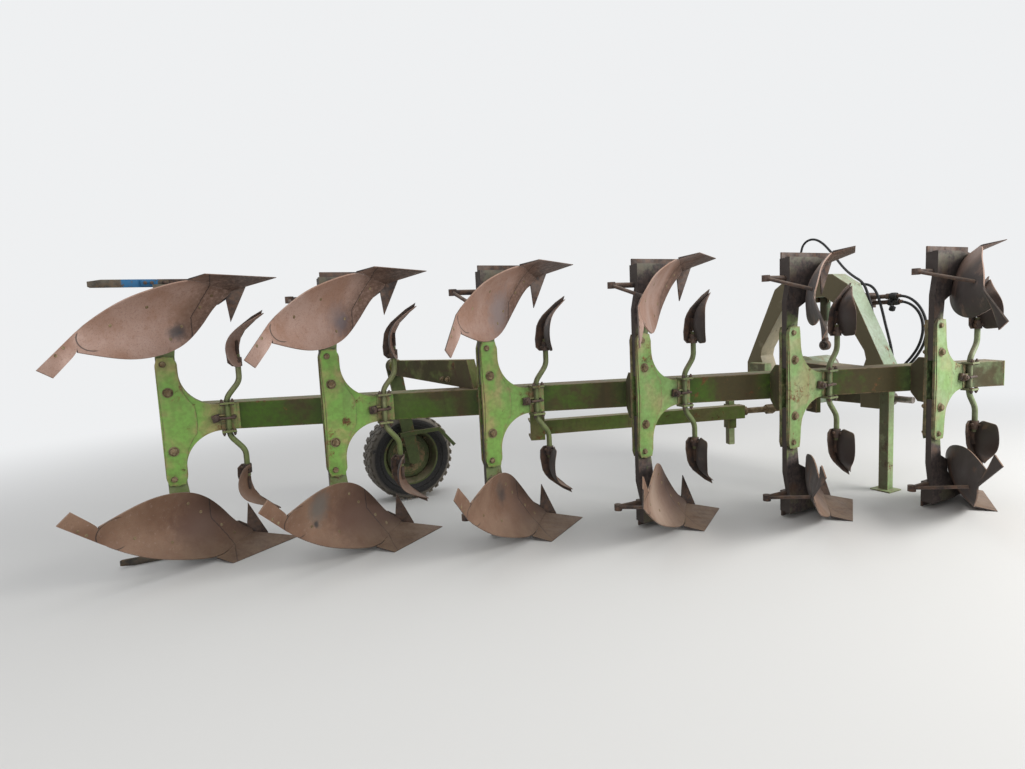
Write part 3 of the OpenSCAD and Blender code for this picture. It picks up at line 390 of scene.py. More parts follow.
def rust_spots(tree, values):
    place = own_place(tree)
    broad = noise_at(tree, place, values["Scale"], 6.0, 0.62, 0.3)
    fine = noise_at(tree, place, times(tree, values["Scale"], 9.0), 5.0, 0.7)
    both = plus(tree, times(tree, broad, 0.72), times(tree, fine, 0.28))
    limit = minus(tree, 0.86, times(tree, values["Amount"], 0.62))
    shade = noise_at(tree, place, times(tree, values["Scale"], 3.0), 5.0, 0.6)
    colour = blend(tree, ramp(tree, shade, 0.32, 0.68), (0.055, 0.026, 0.015), (0.235, 0.098, 0.042))
    return [ramp(tree, minus(tree, both, limit), -0.02, 0.07), colour]


# Dust on the faces that look up, which also paints light on the tops.
def dust_and_painted_top_light(tree, values):
    coordinate = put(tree, "ShaderNodeTexCoord").outputs
    facing = ramp(tree, axis_of(tree, coordinate["Normal"], "Z"), 0.25, 0.92)
    spots = noise_at(tree, coordinate["Object"], values["Scale"], 6.0, 0.66)
    return [times(tree, times(tree, facing, ramp(tree, spots, 0.30, 0.62)), values["Amount"], clamp=True)]


def rain_streaks(tree, values):
    place = own_place(tree)
    drawn = put(tree, "ShaderNodeVectorMath", {0: place, 1: (1.0, 1.0, 0.07)},
                operation="MULTIPLY").outputs[0]
    lines = noise_at(tree, drawn, values["Scale"], 5.0, 0.6)
    patches = noise_at(tree, place, 3.0, 2.0)
    mask = times(tree, ramp(tree, lines, 0.48, 0.72), ramp(tree, patches, 0.35, 0.65))
    return [times(tree, mask, values["Amount"], clamp=True)]


# Painted shade in corners and recesses, found by ambient occlusion, together with patchy grime.
def corner_shade_and_grime(tree, values):
    shade = put(tree, "ShaderNodeAmbientOcclusion", {"Distance": values["Reach"]}, samples=5).outputs["AO"]
    spots = noise_at(tree, own_place(tree), 24.0, 4.0, 0.6)
    mask = times(tree, ramp(tree, shade, 0.92, 0.45), ramp(tree, spots, 0.25, 0.60))
    return [times(tree, mask, values["Amount"], clamp=True)]


def soft_patches(tree, values):
    spots = noise_at(tree, own_place(tree), values["Scale"], 3.0, 0.55, 0.4)
    return [ramp(tree, spots, values["Low"], values["High"])]


def fine_grain(tree, values):
    place = own_place(tree)
    fine = noise_at(tree, place, values["Scale"], 3.0, 0.6)
    broad = noise_at(tree, place, times(tree, values["Scale"], 0.16), 4.0, 0.6)
    return [plus(tree, times(tree, fine, 0.45), times(tree, broad, 0.55)), broad]


def front_light_and_fading(tree, values):
    """Painted light and fading: the end of the plough that stands in the open is paler."""
    place = own_place(tree)
    far = put(tree, "ShaderNodeMapRange", {"Value": axis_of(tree, place, "X"), "From Min": values["From"],
                                           "From Max": values["To"]}).outputs["Result"]
    uneven = ramp(tree, noise_at(tree, place, 6.0, 4.0, 0.6, 0.2), 0.25, 0.65, 0.45, 1.0)
    return [times(tree, times(tree, far, uneven), values["Amount"], clamp=True)]


def painted_rear_shade(tree, values):
    """Painted shade: darker colour on the faces that look to the rear."""
    coordinate = put(tree, "ShaderNodeTexCoord").outputs
    facing = ramp(tree, axis_of(tree, coordinate["Normal"], "X"), -0.30, -0.80)
    spots = noise_at(tree, coordinate["Object"], values["Scale"], 5.0, 0.62)
    patchy = ramp(tree, spots, 0.28, 0.52, 0.35, 1.0)
    return [times(tree, times(tree, facing, patchy), values["Amount"], clamp=True)]


def round_stain(tree, values):
    place = own_place(tree)
    away = put(tree, "ShaderNodeVectorMath", {0: place, 1: values["Centre"]},
               operation="DISTANCE").outputs["Value"]
    spots = noise_at(tree, place, 26.0, 5.0, 0.62)
    ragged = times(tree, away, ramp(tree, spots, 0.3, 0.7, 0.80, 1.25))
    share = math_node(tree, "DIVIDE", ragged, values["Size"])
    return [times(tree, ramp(tree, share, 1.45, 0.25), values["Strength"], clamp=True)]


EDGE_WEAR = shared("edge wear", edge_wear, Width=0.004, Scale=60.0, Amount=1.0)
RUST = shared("rust spots", rust_spots, ("Mask", "Colour"), Scale=9.0, Amount=0.4)
# Dust and painted light on the faces that look up.
DUST_AND_TOP_LIGHT = shared("dust and painted top light", dust_and_painted_top_light, Amount=0.7, Scale=14.0)
STREAKS = shared("rain streaks", rain_streaks, Scale=22.0, Amount=0.5)
# Painted shade and grime in corners and recesses.
SHADE_AND_GRIME = shared("painted corner shade and grime", corner_shade_and_grime, Reach=0.05, Amount=0.8)
PATCHES = shared("soft patches", soft_patches, Scale=3.0, Low=0.4, High=0.62)
GRAIN = shared("fine grain", fine_grain, ("Height", "Mottle"), Scale=260.0)
# Painted light and fading toward the open front end.
FRONT_LIGHT_AND_FADING = shared("painted front light and fading", front_light_and_fading, Amount=0.7, From=-0.6, To=2.6)
# Painted shade on the faces that look to the rear.
REAR_SHADE = shared("painted rear shade", painted_rear_shade, Amount=0.8, Scale=7.0)
STAIN = shared("stain", round_stain, Centre=(0, 0, 0), Size=0.05, Strength=0.8)


def effect(tree, which, **values):
    """Places a shared effect in a material with its own values."""
    node = tree.nodes.new("ShaderNodeGroup")
    node.node_tree = which
    for key, value in values.items():
        node.inputs[key].default_value = value
    return node.outputs


def mask_of(tree, which, **values):
    return effect(tree, which, **values)["Mask"]


def material(name, colour):
    mat = bpy.data.materials.new(name)
    mat.use_nodes = True
    mat.diffuse_color = (*colour, 1)
    return mat, mat.node_tree, mat.node_tree.nodes["Principled BSDF"]


def finish_surface(tree, shader, colour, rough, height, depth, distance):
    tree.links.new(colour, shader.inputs["Base Color"])
    tree.links.new(rough, shader.inputs["Roughness"])
    bump = put(tree, "ShaderNodeBump", {"Strength": depth, "Distance": distance, "Height": height})
    tree.links.new(bump.outputs[0], shader.inputs["Normal"])


def painted(name, fresh, faded, shadow, rust_amount=0.35, rust_scale=9.0, edge=0.9, edge_width=0.010,
            top_dust_and_light=0.6, rear_shade=0.85, rear_shade_colour=(0.062, 0.046, 0.032), front_light_and_fade=0.0, front_light_and_fade_from=-0.6,
            fade=(0.42, 0.66), fade_scale=3.0, shade_and_grime=0.8, shade_and_grime_reach=0.060, sheen=0.4,
            muddy=None):
    """Old machine paint: faded in patches, streaked, rusty at its edges, with painted shade behind and in
    corners, dusty with painted light on top.
    """
    mat, tree, shader = material(name, fresh)
    patch = mask_of(tree, PATCHES, Scale=fade_scale, Low=fade[0], High=fade[1])
    grain = effect(tree, GRAIN, Scale=240.0)
    colour = blend(tree, patch, fresh, faded)
    # Paler paint toward the open front end: painted light, and fading.
    if front_light_and_fade:
        colour = blend(tree, mask_of(tree, FRONT_LIGHT_AND_FADING, Amount=front_light_and_fade, From=front_light_and_fade_from), colour, PALE_PAINT)
    if muddy:
        mud_mask, mud_colour = muddy(tree)
        colour = blend(tree, mud_mask, colour, mud_colour)
    mottle = ramp(tree, grain["Mottle"], 0.35, 0.65, 0.0, 0.35)
    colour = blend(tree, mottle, colour, shadow)
    colour = blend(tree, mask_of(tree, STREAKS, Scale=24.0, Amount=0.5), colour, shadow)
    # Painted shade and grime in corners and recesses.
    colour = blend(tree, mask_of(tree, SHADE_AND_GRIME, Reach=shade_and_grime_reach, Amount=shade_and_grime), colour,
                   tuple(0.30 * c + 0.012 for c in shadow))
    rust = effect(tree, RUST, Scale=rust_scale, Amount=rust_amount)
    wear = mask_of(tree, EDGE_WEAR, Width=edge_width, Scale=30.0, Amount=edge)
    rusty = larger(tree, rust["Mask"], wear)
    colour = blend(tree, rust["Mask"], colour, rust["Colour"])
    # Painted shade on the faces that look to the rear.
    rear_shaded = mask_of(tree, REAR_SHADE, Amount=rear_shade, Scale=7.0)
    colour = blend(tree, rear_shaded, colour, rear_shade_colour)
    colour = blend(tree, times(tree, wear, 0.85), colour, (0.290, 0.195, 0.110))
    # Dust, and painted light, on the faces that look up.
    dusty_lit_top = mask_of(tree, DUST_AND_TOP_LIGHT, Amount=top_dust_and_light, Scale=13.0)
    colour = blend(tree, dusty_lit_top, colour, (0.30, 0.24, 0.17))
    dull = larger(tree, larger(tree, rusty, dusty_lit_top), rear_shaded)
    rough = ramp(tree, dull, 0.0, 1.0, 0.46, 0.90)
    height = plus(tree, grain["Height"], times(tree, rusty, 0.9))
    finish_surface(tree, shader, colour, rough, height, 0.32, 0.0012)
    shader.inputs["Specular IOR Level"].default_value = sheen
    return mat


def mud_of_bays(tree):
    """Brown film on the beam, thicker toward the front of each bay between two leg units."""
    place = own_place(tree)
    along = axis_of(tree, place, "X")
    bays = math_node(tree, "DIVIDE", minus(tree, along, unit_at(0, 0, 0, 0).x), FURROW_STEP)
    spots = noise_at(tree, place, 5.0, 5.0, 0.65)
    along_bay = math_node(tree, "FRACT", bays)
    share = plus(tree, along_bay, ramp(tree, spots, 0.3, 0.7, -0.22, 0.22))
    share = plus(tree, share, ramp(tree, bays, 0.8, 3.2, -0.10, 0.20))
    film = times(tree, ramp(tree, share, 0.52, 0.92, 0.0, 0.88), ramp(tree, along_bay, 1.0, 0.86))
    return times(tree, film, ramp(tree, along_bay, 0.0, 0.10)), (0.070, 0.044, 0.022)


def mud_of_arch(tree):
    """Tan dirt on the arch's far leg."""
    place = own_place(tree)
    across = axis_of(tree, place, "Y")
    spots = noise_at(tree, place, 6.0, 5.0, 0.65)
    share = plus(tree, across, ramp(tree, spots, 0.3, 0.7, -0.12, 0.12))
    start = ORIGIN.y + TURN_Y
    return ramp(tree, share, start + 0.08, start + 0.24, 0.0, 0.85), (0.330, 0.255, 0.165)


def painted_leg():
    """Cast leg: green between the side plates, with the paint scoured off toward the board."""
    mat, tree, shader = material("scoured_leg", (0.09, 0.08, 0.05))
    place = own_place(tree)
    height_up = axis_of(tree, place, "Z")
    from_beam = off(tree, minus(tree, height_up, BEAM_Z))
    broad = noise_at(tree, place, 7.0, 5.0, 0.62, 0.2)
    fine = noise_at(tree, place, 34.0, 5.0, 0.7)
    ragged = plus(tree, from_beam, ramp(tree, broad, 0.3, 0.7, -0.07, 0.07))
    ahead = axis_of(tree, place, "X")
    headward = ramp(tree, ahead, unit_at(1, 0.30, 0, 0).x, unit_at(3, -0.30, 0, 0).x, 0.0, 0.12)
    bare = ramp(tree, plus(tree, ragged, headward), 0.50, 0.585)
    left_over = times(tree, ramp(tree, ragged, 0.74, 0.82), ramp(tree, broad, 0.44, 0.54, 0.0, 0.5))
    bare = minus(tree, bare, left_over, clamp=True)
    grain = effect(tree, GRAIN, Scale=190.0)
    green = blend(tree, ramp(tree, broad, 0.35, 0.65), (0.135, 0.190, 0.058), (0.235, 0.260, 0.130))
    green = blend(tree, mask_of(tree, RUST, Scale=16.0, Amount=0.5), green, (0.13, 0.075, 0.040))
    green = blend(tree, ramp(tree, from_beam, 0.60, 0.70, 0.0, 0.75), green, (0.115, 0.110, 0.085))
    iron = blend(tree, ramp(tree, fine, 0.36, 0.66), (0.044, 0.036, 0.036), (0.112, 0.084, 0.074))
    iron = blend(tree, ramp(tree, broad, 0.50, 0.70, 0.0, 0.6), iron, (0.135, 0.075, 0.045))
    colour = blend(tree, bare, green, iron)
    # Painted shade and grime in corners and recesses.
    colour = blend(tree, mask_of(tree, SHADE_AND_GRIME, Reach=0.05, Amount=0.9), colour, (0.028, 0.022, 0.020))
    wear = mask_of(tree, EDGE_WEAR, Width=0.006, Scale=30.0, Amount=0.6)
    colour = blend(tree, wear, colour, (0.17, 0.115, 0.080))
    # Painted shade on the faces that look to the rear.
    colour = blend(tree, mask_of(tree, REAR_SHADE, Amount=1.5, Scale=7.0), colour, (0.046, 0.036, 0.032))
    # Dust, and painted light, on the faces that look up.
    dusty_lit_top = mask_of(tree, DUST_AND_TOP_LIGHT, Amount=0.4, Scale=11.0)
    colour = blend(tree, dusty_lit_top, colour, (0.25, 0.19, 0.14))
    rough = ramp(tree, bare, 0.0, 1.0, 0.55, 0.80)
    height = plus(tree, grain["Height"], times(tree, bare, fine))
    finish_surface(tree, shader, colour, rough, height, 0.45, 0.0015)
    return mat


def rusted(name, dark, light, warm, polish=0.0, top_dust_and_light=0.35, scale=7.0, rough=(0.62, 0.88), depth=0.45):
    """Bare iron under old rust, with smoother scoured places."""
    mat, tree, shader = material(name, light)
    grain = effect(tree, GRAIN, Scale=190.0)
    patch = mask_of(tree, PATCHES, Scale=scale, Low=0.36, High=0.62)
    fine = mask_of(tree, PATCHES, Scale=scale * 5, Low=0.38, High=0.66)
    colour = blend(tree, patch, dark, light)
    colour = blend(tree, times(tree, fine, 0.6), colour, warm)
    colour = blend(tree, ramp(tree, grain["Mottle"], 0.35, 0.7, 0.0, 0.5), colour,
                   tuple(c * 0.55 for c in dark))
    # Painted shade and grime in corners and recesses.
    colour = blend(tree, mask_of(tree, SHADE_AND_GRIME, Reach=0.03, Amount=0.8), colour, tuple(c * 0.3 for c in dark))
    wear = mask_of(tree, EDGE_WEAR, Width=0.003, Scale=30.0, Amount=0.55)
    colour = blend(tree, wear, colour, tuple(min(1.0, 1.5 * c + 0.03) for c in light))
    # Dust, and painted light, on the faces that look up.
    dusty_lit_top = mask_of(tree, DUST_AND_TOP_LIGHT, Amount=top_dust_and_light, Scale=11.0)
    colour = blend(tree, dusty_lit_top, colour, (0.27, 0.20, 0.14))
    roughness = ramp(tree, larger(tree, patch, dusty_lit_top), 0.0, 1.0, rough[1], rough[0])
    finish_surface(tree, shader, colour, roughness, grain["Height"], depth, 0.0015)
    shader.inputs["Metallic"].default_value = polish
    return mat


# Stains of the boards: unit, place from its pivot line, size, strength and colour
STAINS = (
    (0, (0.104, -0.020, 0.562), 0.050, 0.95, (0.026, 0.032, 0.042)),
    (0, (0.070, -0.040, 0.545), 0.046, 0.70, (0.050, 0.050, 0.054)),
    (1, (0.096, -0.023, 0.559), 0.070, 0.75, (0.070, 0.062, 0.078)),
    (1, (0.060, -0.050, 0.600), 0.100, 0.45, (0.150, 0.125, 0.130)),
    (2, (0.070, -0.040, 0.580), 0.150, 0.60, (0.185, 0.172, 0.182)),
    (1, (-0.169, -0.249, -0.510), 0.100, 0.85, (0.125, 0.112, 0.098)),
    (1, (-0.197, -0.271, -0.598), 0.022, 0.90, (0.034, 0.031, 0.030)),
    (2, (0.009, -0.106, -0.560), 0.060, 0.85, (0.045, 0.038, 0.036)),
    (2, (-0.030, -0.130, -0.500), 0.050, 0.55, (0.080, 0.066, 0.056)),
    (3, (-0.075, -0.164, -0.560), 0.060, 0.60, (0.080, 0.062, 0.050)),
    (4, (0.020, -0.100, -0.600), 0.080, 0.50, (0.070, 0.054, 0.045)),
    (0, (0.090, -0.060, -0.640), 0.170, 0.85, (0.088, 0.040, 0.026)),
    (1, (0.040, -0.090, -0.640), 0.170, 0.80, (0.088, 0.040, 0.026)),
    (3, (-0.120, -0.180, -0.640), 0.230, 0.85, (0.350, 0.250, 0.190)),
    (0, (0.170, -0.010, 0.660), 0.130, 0.60, (0.150, 0.078, 0.046)),
)


# Seam between a board and its tail piece, an arc on the boards' own map: its centre and its
# radius on the upper and on the lower bodies
TAIL_SEAM_CENTRE = (-0.297, 0.537, 0)
TAIL_SEAM_R = 0.0705
TAIL_SEAM_LOWER_R = 0.0885


def worn_boards():
    """Scoured plough boards: pinkish rust above, browner below, with dark stains and seams.

    The boards' own UV map gives the place ahead of the leg and the height from the beam, and the
    attribute "lower" is 1 on the bodies that stand on the floor."""
    mat, tree, shader = material("worn_board_steel", (0.30, 0.19, 0.15))
    place = own_place(tree)
    own = put(tree, "ShaderNodeUVMap", uv_map="board").outputs[0]
    parts = put(tree, "ShaderNodeSeparateXYZ", {0: own}).outputs
    lower = put(tree, "ShaderNodeAttribute", attribute_name="lower").outputs["Fac"]
    grain = effect(tree, GRAIN, Scale=170.0)
    broad = noise_at(tree, place, 3.4, 3.0, 0.55, 0.1)
    fine = noise_at(tree, place, 46.0, 5.0, 0.7)
    specks = noise_at(tree, place, 150.0, 3.0, 0.6)
    above = blend(tree, ramp(tree, broad, 0.36, 0.62), (0.262, 0.150, 0.106), (0.330, 0.218, 0.176))
    below = blend(tree, ramp(tree, broad, 0.36, 0.62), (0.150, 0.080, 0.048), (0.215, 0.128, 0.082))
    colour = blend(tree, lower, above, below)
    colour = blend(tree, ramp(tree, fine, 0.50, 0.72, 0.0, 0.50), colour, (0.205, 0.098, 0.056))
    colour = blend(tree, ramp(tree, specks, 0.52, 0.70, 0.0, 0.45), colour, (0.120, 0.066, 0.045))
    colour = blend(tree, ramp(tree, fine, 0.44, 0.28, 0.0, 0.28), colour, (0.420, 0.310, 0.265))
    for unit, spot, size, strength, dark in STAINS:
        stain = mask_of(tree, STAIN, Centre=unit_at(unit, *spot), Size=size, Strength=strength)
        colour = blend(tree, stain, colour, dark)
    seam_x = put(tree, "ShaderNodeMapRange", {"Value": parts["Y"], "From Min": 0.64, "From Max": 0.83,
                                              "To Min": 0.166, "To Max": 0.288}).outputs["Result"]
    ahead = minus(tree, parts["X"], seam_x)
    near = off(tree, plus(tree, ahead, ramp(tree, fine, 0.3, 0.7, -0.002, 0.002)))
    worn = times(tree, ramp(tree, ahead, -0.10, 0.02), ramp(tree, fine, 0.30, 0.62, 0.35, 0.85))
    colour = blend(tree, worn, colour, (0.098, 0.052, 0.034))
    low_front = times(tree, ramp(tree, ahead, -0.30, 0.0), ramp(tree, broad, 0.36, 0.58, 0.35, 0.9))
    colour = blend(tree, times(tree, low_front, lower), colour, (0.088, 0.045, 0.029))
    front = times(tree, ramp(tree, ahead, 0.03, 0.15), ramp(tree, fine, 0.35, 0.6, 0.3, 0.9))
    colour = blend(tree, front, colour, (0.074, 0.045, 0.033))
    foot = times(tree, ramp(tree, parts["Y"], 0.74, 0.87), ramp(tree, fine, 0.36, 0.60, 0.3, 0.9))
    colour = blend(tree, times(tree, foot, lower), colour, (0.170, 0.108, 0.068))
    seam = ramp(tree, near, 0.0042, 0.0016)
    from_end = put(tree, "ShaderNodeVectorMath", {0: own, 1: TAIL_SEAM_CENTRE},
                   operation="DISTANCE").outputs["Value"]
    end_radius = plus(tree, TAIL_SEAM_R, times(tree, lower, TAIL_SEAM_LOWER_R - TAIL_SEAM_R))
    tail_gap = off(tree, minus(tree, from_end, end_radius))
    tail_seam = times(tree, ramp(tree, tail_gap, 0.0040, 0.0014), ramp(tree, parts["X"], -0.262, -0.285))
    upper_end = times(tree, ramp(tree, parts["Y"], 0.572, 0.556), ramp(tree, parts["X"], -0.275, -0.300))
    tail_seam = times(tree, tail_seam, larger(tree, lower, upper_end))
    seam = larger(tree, seam, tail_seam)
    colour = blend(tree, times(tree, seam, 0.85), colour, (0.024, 0.015, 0.012))
    # Painted shade and grime in corners and recesses.
    colour = blend(tree, mask_of(tree, SHADE_AND_GRIME, Reach=0.03, Amount=0.7), colour, (0.028, 0.018, 0.014))
    wear = mask_of(tree, EDGE_WEAR, Width=0.003, Scale=34.0, Amount=0.5)
    colour = blend(tree, wear, colour, (0.36, 0.26, 0.21))
    # Painted shade on the faces that look to the rear, such as the boards' backs.
    colour = blend(tree, mask_of(tree, REAR_SHADE, Amount=1.5, Scale=6.0), colour, (0.042, 0.031, 0.028))
    # Dust, and painted light, on the faces that look up.
    dusty_lit_top = mask_of(tree, DUST_AND_TOP_LIGHT, Amount=0.4, Scale=9.0)
    colour = blend(tree, dusty_lit_top, colour, (0.27, 0.19, 0.13))
    rough = ramp(tree, broad, 0.34, 0.64, 0.74, 0.52)
    height = plus(tree, grain["Height"], times(tree, specks, 0.5))
    height = minus(tree, height, times(tree, seam, 1.5))
    finish_surface(tree, shader, colour, rough, height, 0.30, 0.0010)
    shader.inputs["Metallic"].default_value = 0.15
    return mat


def rubber(name, black, mud, mud_amount, tread=False):
    mat, tree, shader = material(name, black)
    place = own_place(tree)
    fine = noise_at(tree, place, 90.0, 5.0, 0.7)
    broad = noise_at(tree, place, 11.0, 5.0, 0.66)
    both = plus(tree, times(tree, broad, 0.7), times(tree, fine, 0.3))
    cover = ramp(tree, both, 0.60 - 0.28 * mud_amount, 0.74 - 0.28 * mud_amount)
    if tread:
        worn = put(tree, "ShaderNodeAttribute", attribute_name="tread").outputs["Fac"]
        cover = times(tree, cover, ramp(tree, worn, 0.0, 1.0, 0.05, 1.0))
        ahead = axis_of(tree, place, "X")
        start = at(*WHEEL).x
        cover = times(tree, cover, ramp(tree, ahead, start - 0.30, start + 0.15, 0.45, 1.0))
    colour = blend(tree, ramp(tree, fine, 0.35, 0.7), black, tuple(2.2 * c + 0.006 for c in black))
    colour = blend(tree, cover, colour, mud)
    rough = ramp(tree, cover, 0.0, 1.0, 0.55, 0.92)
    height = plus(tree, times(tree, fine, 0.4), times(tree, cover, 0.8))
    finish_surface(tree, shader, colour, rough, height, 0.35, 0.0015)
    shader.inputs["Specular IOR Level"].default_value = 0.25
    return mat


# Besides dirt and fading, the amounts below also set each finish's painted light and shade: rear shade, shade
# in corners, light on tops and light toward the front end.
PALE_PAINT = (0.330, 0.420, 0.260)
LEAF = painted("faded_leaf_paint", (0.185, 0.370, 0.070), (0.350, 0.320, 0.120), (0.120, 0.145, 0.040),
               0.46, 7.0, 1.0, 0.016, front_light_and_fade=0.75, fade=(0.44, 0.66), fade_scale=5.0, shade_and_grime=0.9,
               shade_and_grime_reach=0.09)
BEAM = painted("beam_paint", (0.062, 0.132, 0.014), (0.084, 0.126, 0.028), (0.046, 0.044, 0.018), 0.42, 8.0,
               1.0, 0.011, top_dust_and_light=0.8, front_light_and_fade=0.75, front_light_and_fade_from=2.0, shade_and_grime=0.9, shade_and_grime_reach=0.12, sheen=0.18,
               muddy=mud_of_bays)
CROSS = painted("cross_arm_paint", (0.140, 0.215, 0.042), (0.190, 0.180, 0.068), (0.100, 0.078, 0.038),
                0.46, 9.0, 1.0, 0.010, top_dust_and_light=0.9, shade_and_grime=0.9, shade_and_grime_reach=0.12, sheen=0.25)
STAND = painted("stand_paint", (0.320, 0.540, 0.170), (0.440, 0.500, 0.250), (0.190, 0.190, 0.090), 0.46, 8.0,
                1.0, 0.010, front_light_and_fade=0.4, sheen=0.4)
STALK = painted("stalk_paint", (0.150, 0.195, 0.058), (0.235, 0.250, 0.115), (0.085, 0.095, 0.035),
                0.42, 12.0, 0.9, 0.004, front_light_and_fade=0.5, rear_shade=0.6)
ARCH = painted("arch_paint", (0.285, 0.375, 0.255), (0.370, 0.450, 0.345), (0.155, 0.160, 0.10), 0.46, 5.0,
               1.0, 0.008, top_dust_and_light=0.5, rear_shade=2.2, rear_shade_colour=(0.125, 0.105, 0.062), shade_and_grime_reach=0.12,
               muddy=mud_of_arch)
OLIVE = painted("wheel_paint", (0.072, 0.098, 0.030), (0.115, 0.140, 0.050), (0.040, 0.042, 0.018),
                0.46, 10.0, 0.9, 0.005, rear_shade=0.7)
RAM = painted("ram_paint", (0.060, 0.10, 0.045), (0.095, 0.14, 0.065), (0.035, 0.045, 0.022), 0.45, 14.0,
              0.8, 0.004)
LEG = painted_leg()
BOARD = worn_boards()
IRON = rusted("dark_rusty_iron", (0.040, 0.030, 0.028), (0.100, 0.066, 0.050), (0.150, 0.078, 0.045))
BOLT = rusted("rusty_bolt_steel", (0.115, 0.085, 0.045), (0.270, 0.215, 0.120), (0.23, 0.130, 0.058), 0.2,
              scale=30.0)
PIN = rusted("bare_steel", (0.13, 0.115, 0.105), (0.34, 0.31, 0.29), (0.22, 0.14, 0.09), 0.75, 0.15, 16.0,
             (0.28, 0.60), 0.2)
TYRE = rubber("tyre_rubber", (0.010, 0.010, 0.011), (0.250, 0.220, 0.180), 0.95, tread=True)
HOSE = rubber("hose_rubber", (0.012, 0.012, 0.013), (0.11, 0.095, 0.075), 0.16)

for cord in HOSES:
    cord.data.materials.append(HOSE)

# Finish and the record's slot of each CAD node
FINISHES = {}
for node_finish, node_slot, node_names in (
        (BEAM, "dark_green_paint", ("main_beam", "gussets", "head_arm", "cross_member")),
        (LEAF, "dark_green_paint", ("beam_caps", "stand_socket")),
        (CROSS, "dark_green_paint", ("stay_beam", "stay_bracket")),
        (ARCH, "dark_green_paint", ("top_link_plates",)),
        (LEAF, "light_green_paint", ("cheek_plates", "stop_block")),
        (CROSS, "light_green_paint", ("cross_arm",)),
        (STAND, "light_green_paint", ("parking_leg", "stand_leg")),
        (STALK, "light_green_paint", ("stalks", "stalk_clamps")),
        (OLIVE, "light_green_paint", ("strut", "rim")),
        (ARCH, "faded_green_paint", ("arch", "housing")),
        (OLIVE, "faded_green_paint", ("scraper",)),
        (BOARD, "worn_board_steel", ("mouldboards", "tail_pieces", "shares", "skimmer_boards")),
        (LEG, "dark_rusty_iron", ("frogs",)),
        (IRON, "dark_rusty_iron", ("landsides", "knives", "board_stays", "skimmer_brackets")),
        (IRON, "rusty_bolt_steel", ("hose_rack",)),
        (BOLT, "rusty_bolt_steel", ("pivot_bolts", "shear_bolts", "clamp_bolts", "stay_screw")),
        (PIN, "bare_steel", ("spindle", "link_pins", "top_link_pin", "ram_rod")),
        (RAM, "ram_paint", ("ram_barrel",)),
        (TYRE, "tyre_rubber", ("tyre",))):
    for node_name in node_names:
        FINISHES[node_name] = (node_finish, node_slot)
for node_name, (finish, _) in FINISHES.items():
    node_mesh = frame["nodes"][node_name].data
    node_mesh.materials.clear()
    node_mesh.materials.append(finish)

BODY_OF = {}
for body_name, members in frame["record"]["behaviour"]["bodies"].items():
    for member in members:
        BODY_OF[member] = body_name


def carry(obj, finish, body, replaced=()):
    """Gives a piece its finish and the body that it moves with, and hides the nodes it stands for."""
    obj.data.materials.append(finish)
    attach(obj, body)
    if replaced:
        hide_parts(*replaced)
    return obj


# Dressed copies of CAD nodes: the same shape with its edges rounded or its bends smoothed
MERGE_GAP = 0.00002
ROUND_FROM = 30
CREASE_FROM = 42


def merged_copy(node):
    bm = bmesh.new()
    bm.from_mesh(frame["nodes"][node].data)
    bmesh.ops.remove_doubles(bm, verts=bm.verts, dist=MERGE_GAP)
    return bm


def flat_copy(node):
    bm = merged_copy(node)
    bmesh.ops.dissolve_limit(bm, angle_limit=math.radians(1), verts=bm.verts, edges=bm.edges)
    return bm


def round_edges(obj, width, harden=True):
    rounding = obj.modifiers.new("rounded edges", "BEVEL")
    rounding.width = width
    rounding.segments = 2
    rounding.limit_method = "ANGLE"
    rounding.angle_limit = math.radians(ROUND_FROM)
    rounding.harden_normals = harden


def smooth_bend(obj):
    smooth = obj.modifiers.new("smooth bend", "SUBSURF")
    smooth.levels = 2
    smooth.render_levels = 2


def dress(node, width):
    """A copy of a CAD node with rounded edges, which is shown in its place."""
    obj = mesh_object(node + "_dressed", flat_copy(node))
    smooth_by_angle(obj, ROUND_FROM)
    round_edges(obj, width)
    finish, slot = FINISHES[node]
    return carry(obj, finish, BODY_OF[node], (node,))


for node_name, width in (("main_beam", 0.008), ("beam_caps", 0.002), ("gussets", 0.002), ("stay_beam", 0.005),
                         ("stay_bracket", 0.003), ("head_arm", 0.005), ("cross_member", 0.005),
                         ("top_link_plates", 0.003), ("cheek_plates", 0.002), ("cross_arm", 0.004),
                         ("parking_leg", 0.004), ("stand_leg", 0.004), ("stand_socket", 0.003),
                         ("stop_block", 0.005), ("stalk_clamps", 0.002), ("strut", 0.003),
                         ("arch", 0.006), ("housing", 0.004), ("scraper", 0.0015), ("landsides", 0.0015),
                         ("knives", 0.0015), ("hose_rack", 0.0012), ("link_pins", 0.004),
                         ("top_link_pin", 0.004), ("ram_barrel", 0.003), ("ram_rod", 0.002)):
    dress(node_name, width)

# Largest radius at which the wheel leg's pin hole is looked for, and how much wider it gets
SWING_HOLE_REACH = 0.026
SWING_HOLE_GROWTH = 1.012


def widen_swing_hole():
    """Leaves the wheel leg room to turn on its pin without the facets of the two touching."""
    axis = at(SWING_X, 0, SWING_Z)
    for vert in bpy.data.objects["strut_dressed"].data.vertices:
        x = vert.co.x - axis.x
        z = vert.co.z - axis.z
        if math.hypot(x, z) < SWING_HOLE_REACH:
            vert.co.x = axis.x + SWING_HOLE_GROWTH * x
            vert.co.z = axis.z + SWING_HOLE_GROWTH * z


widen_swing_hole()


def body_line(p, i):
    """How far a point lies from body i, along the line of the units."""
    k = unit_shift(i)
    return (p.x - k * FURROW_STEP) - (p.y + k * FURROW_WIDTH) - 0.10


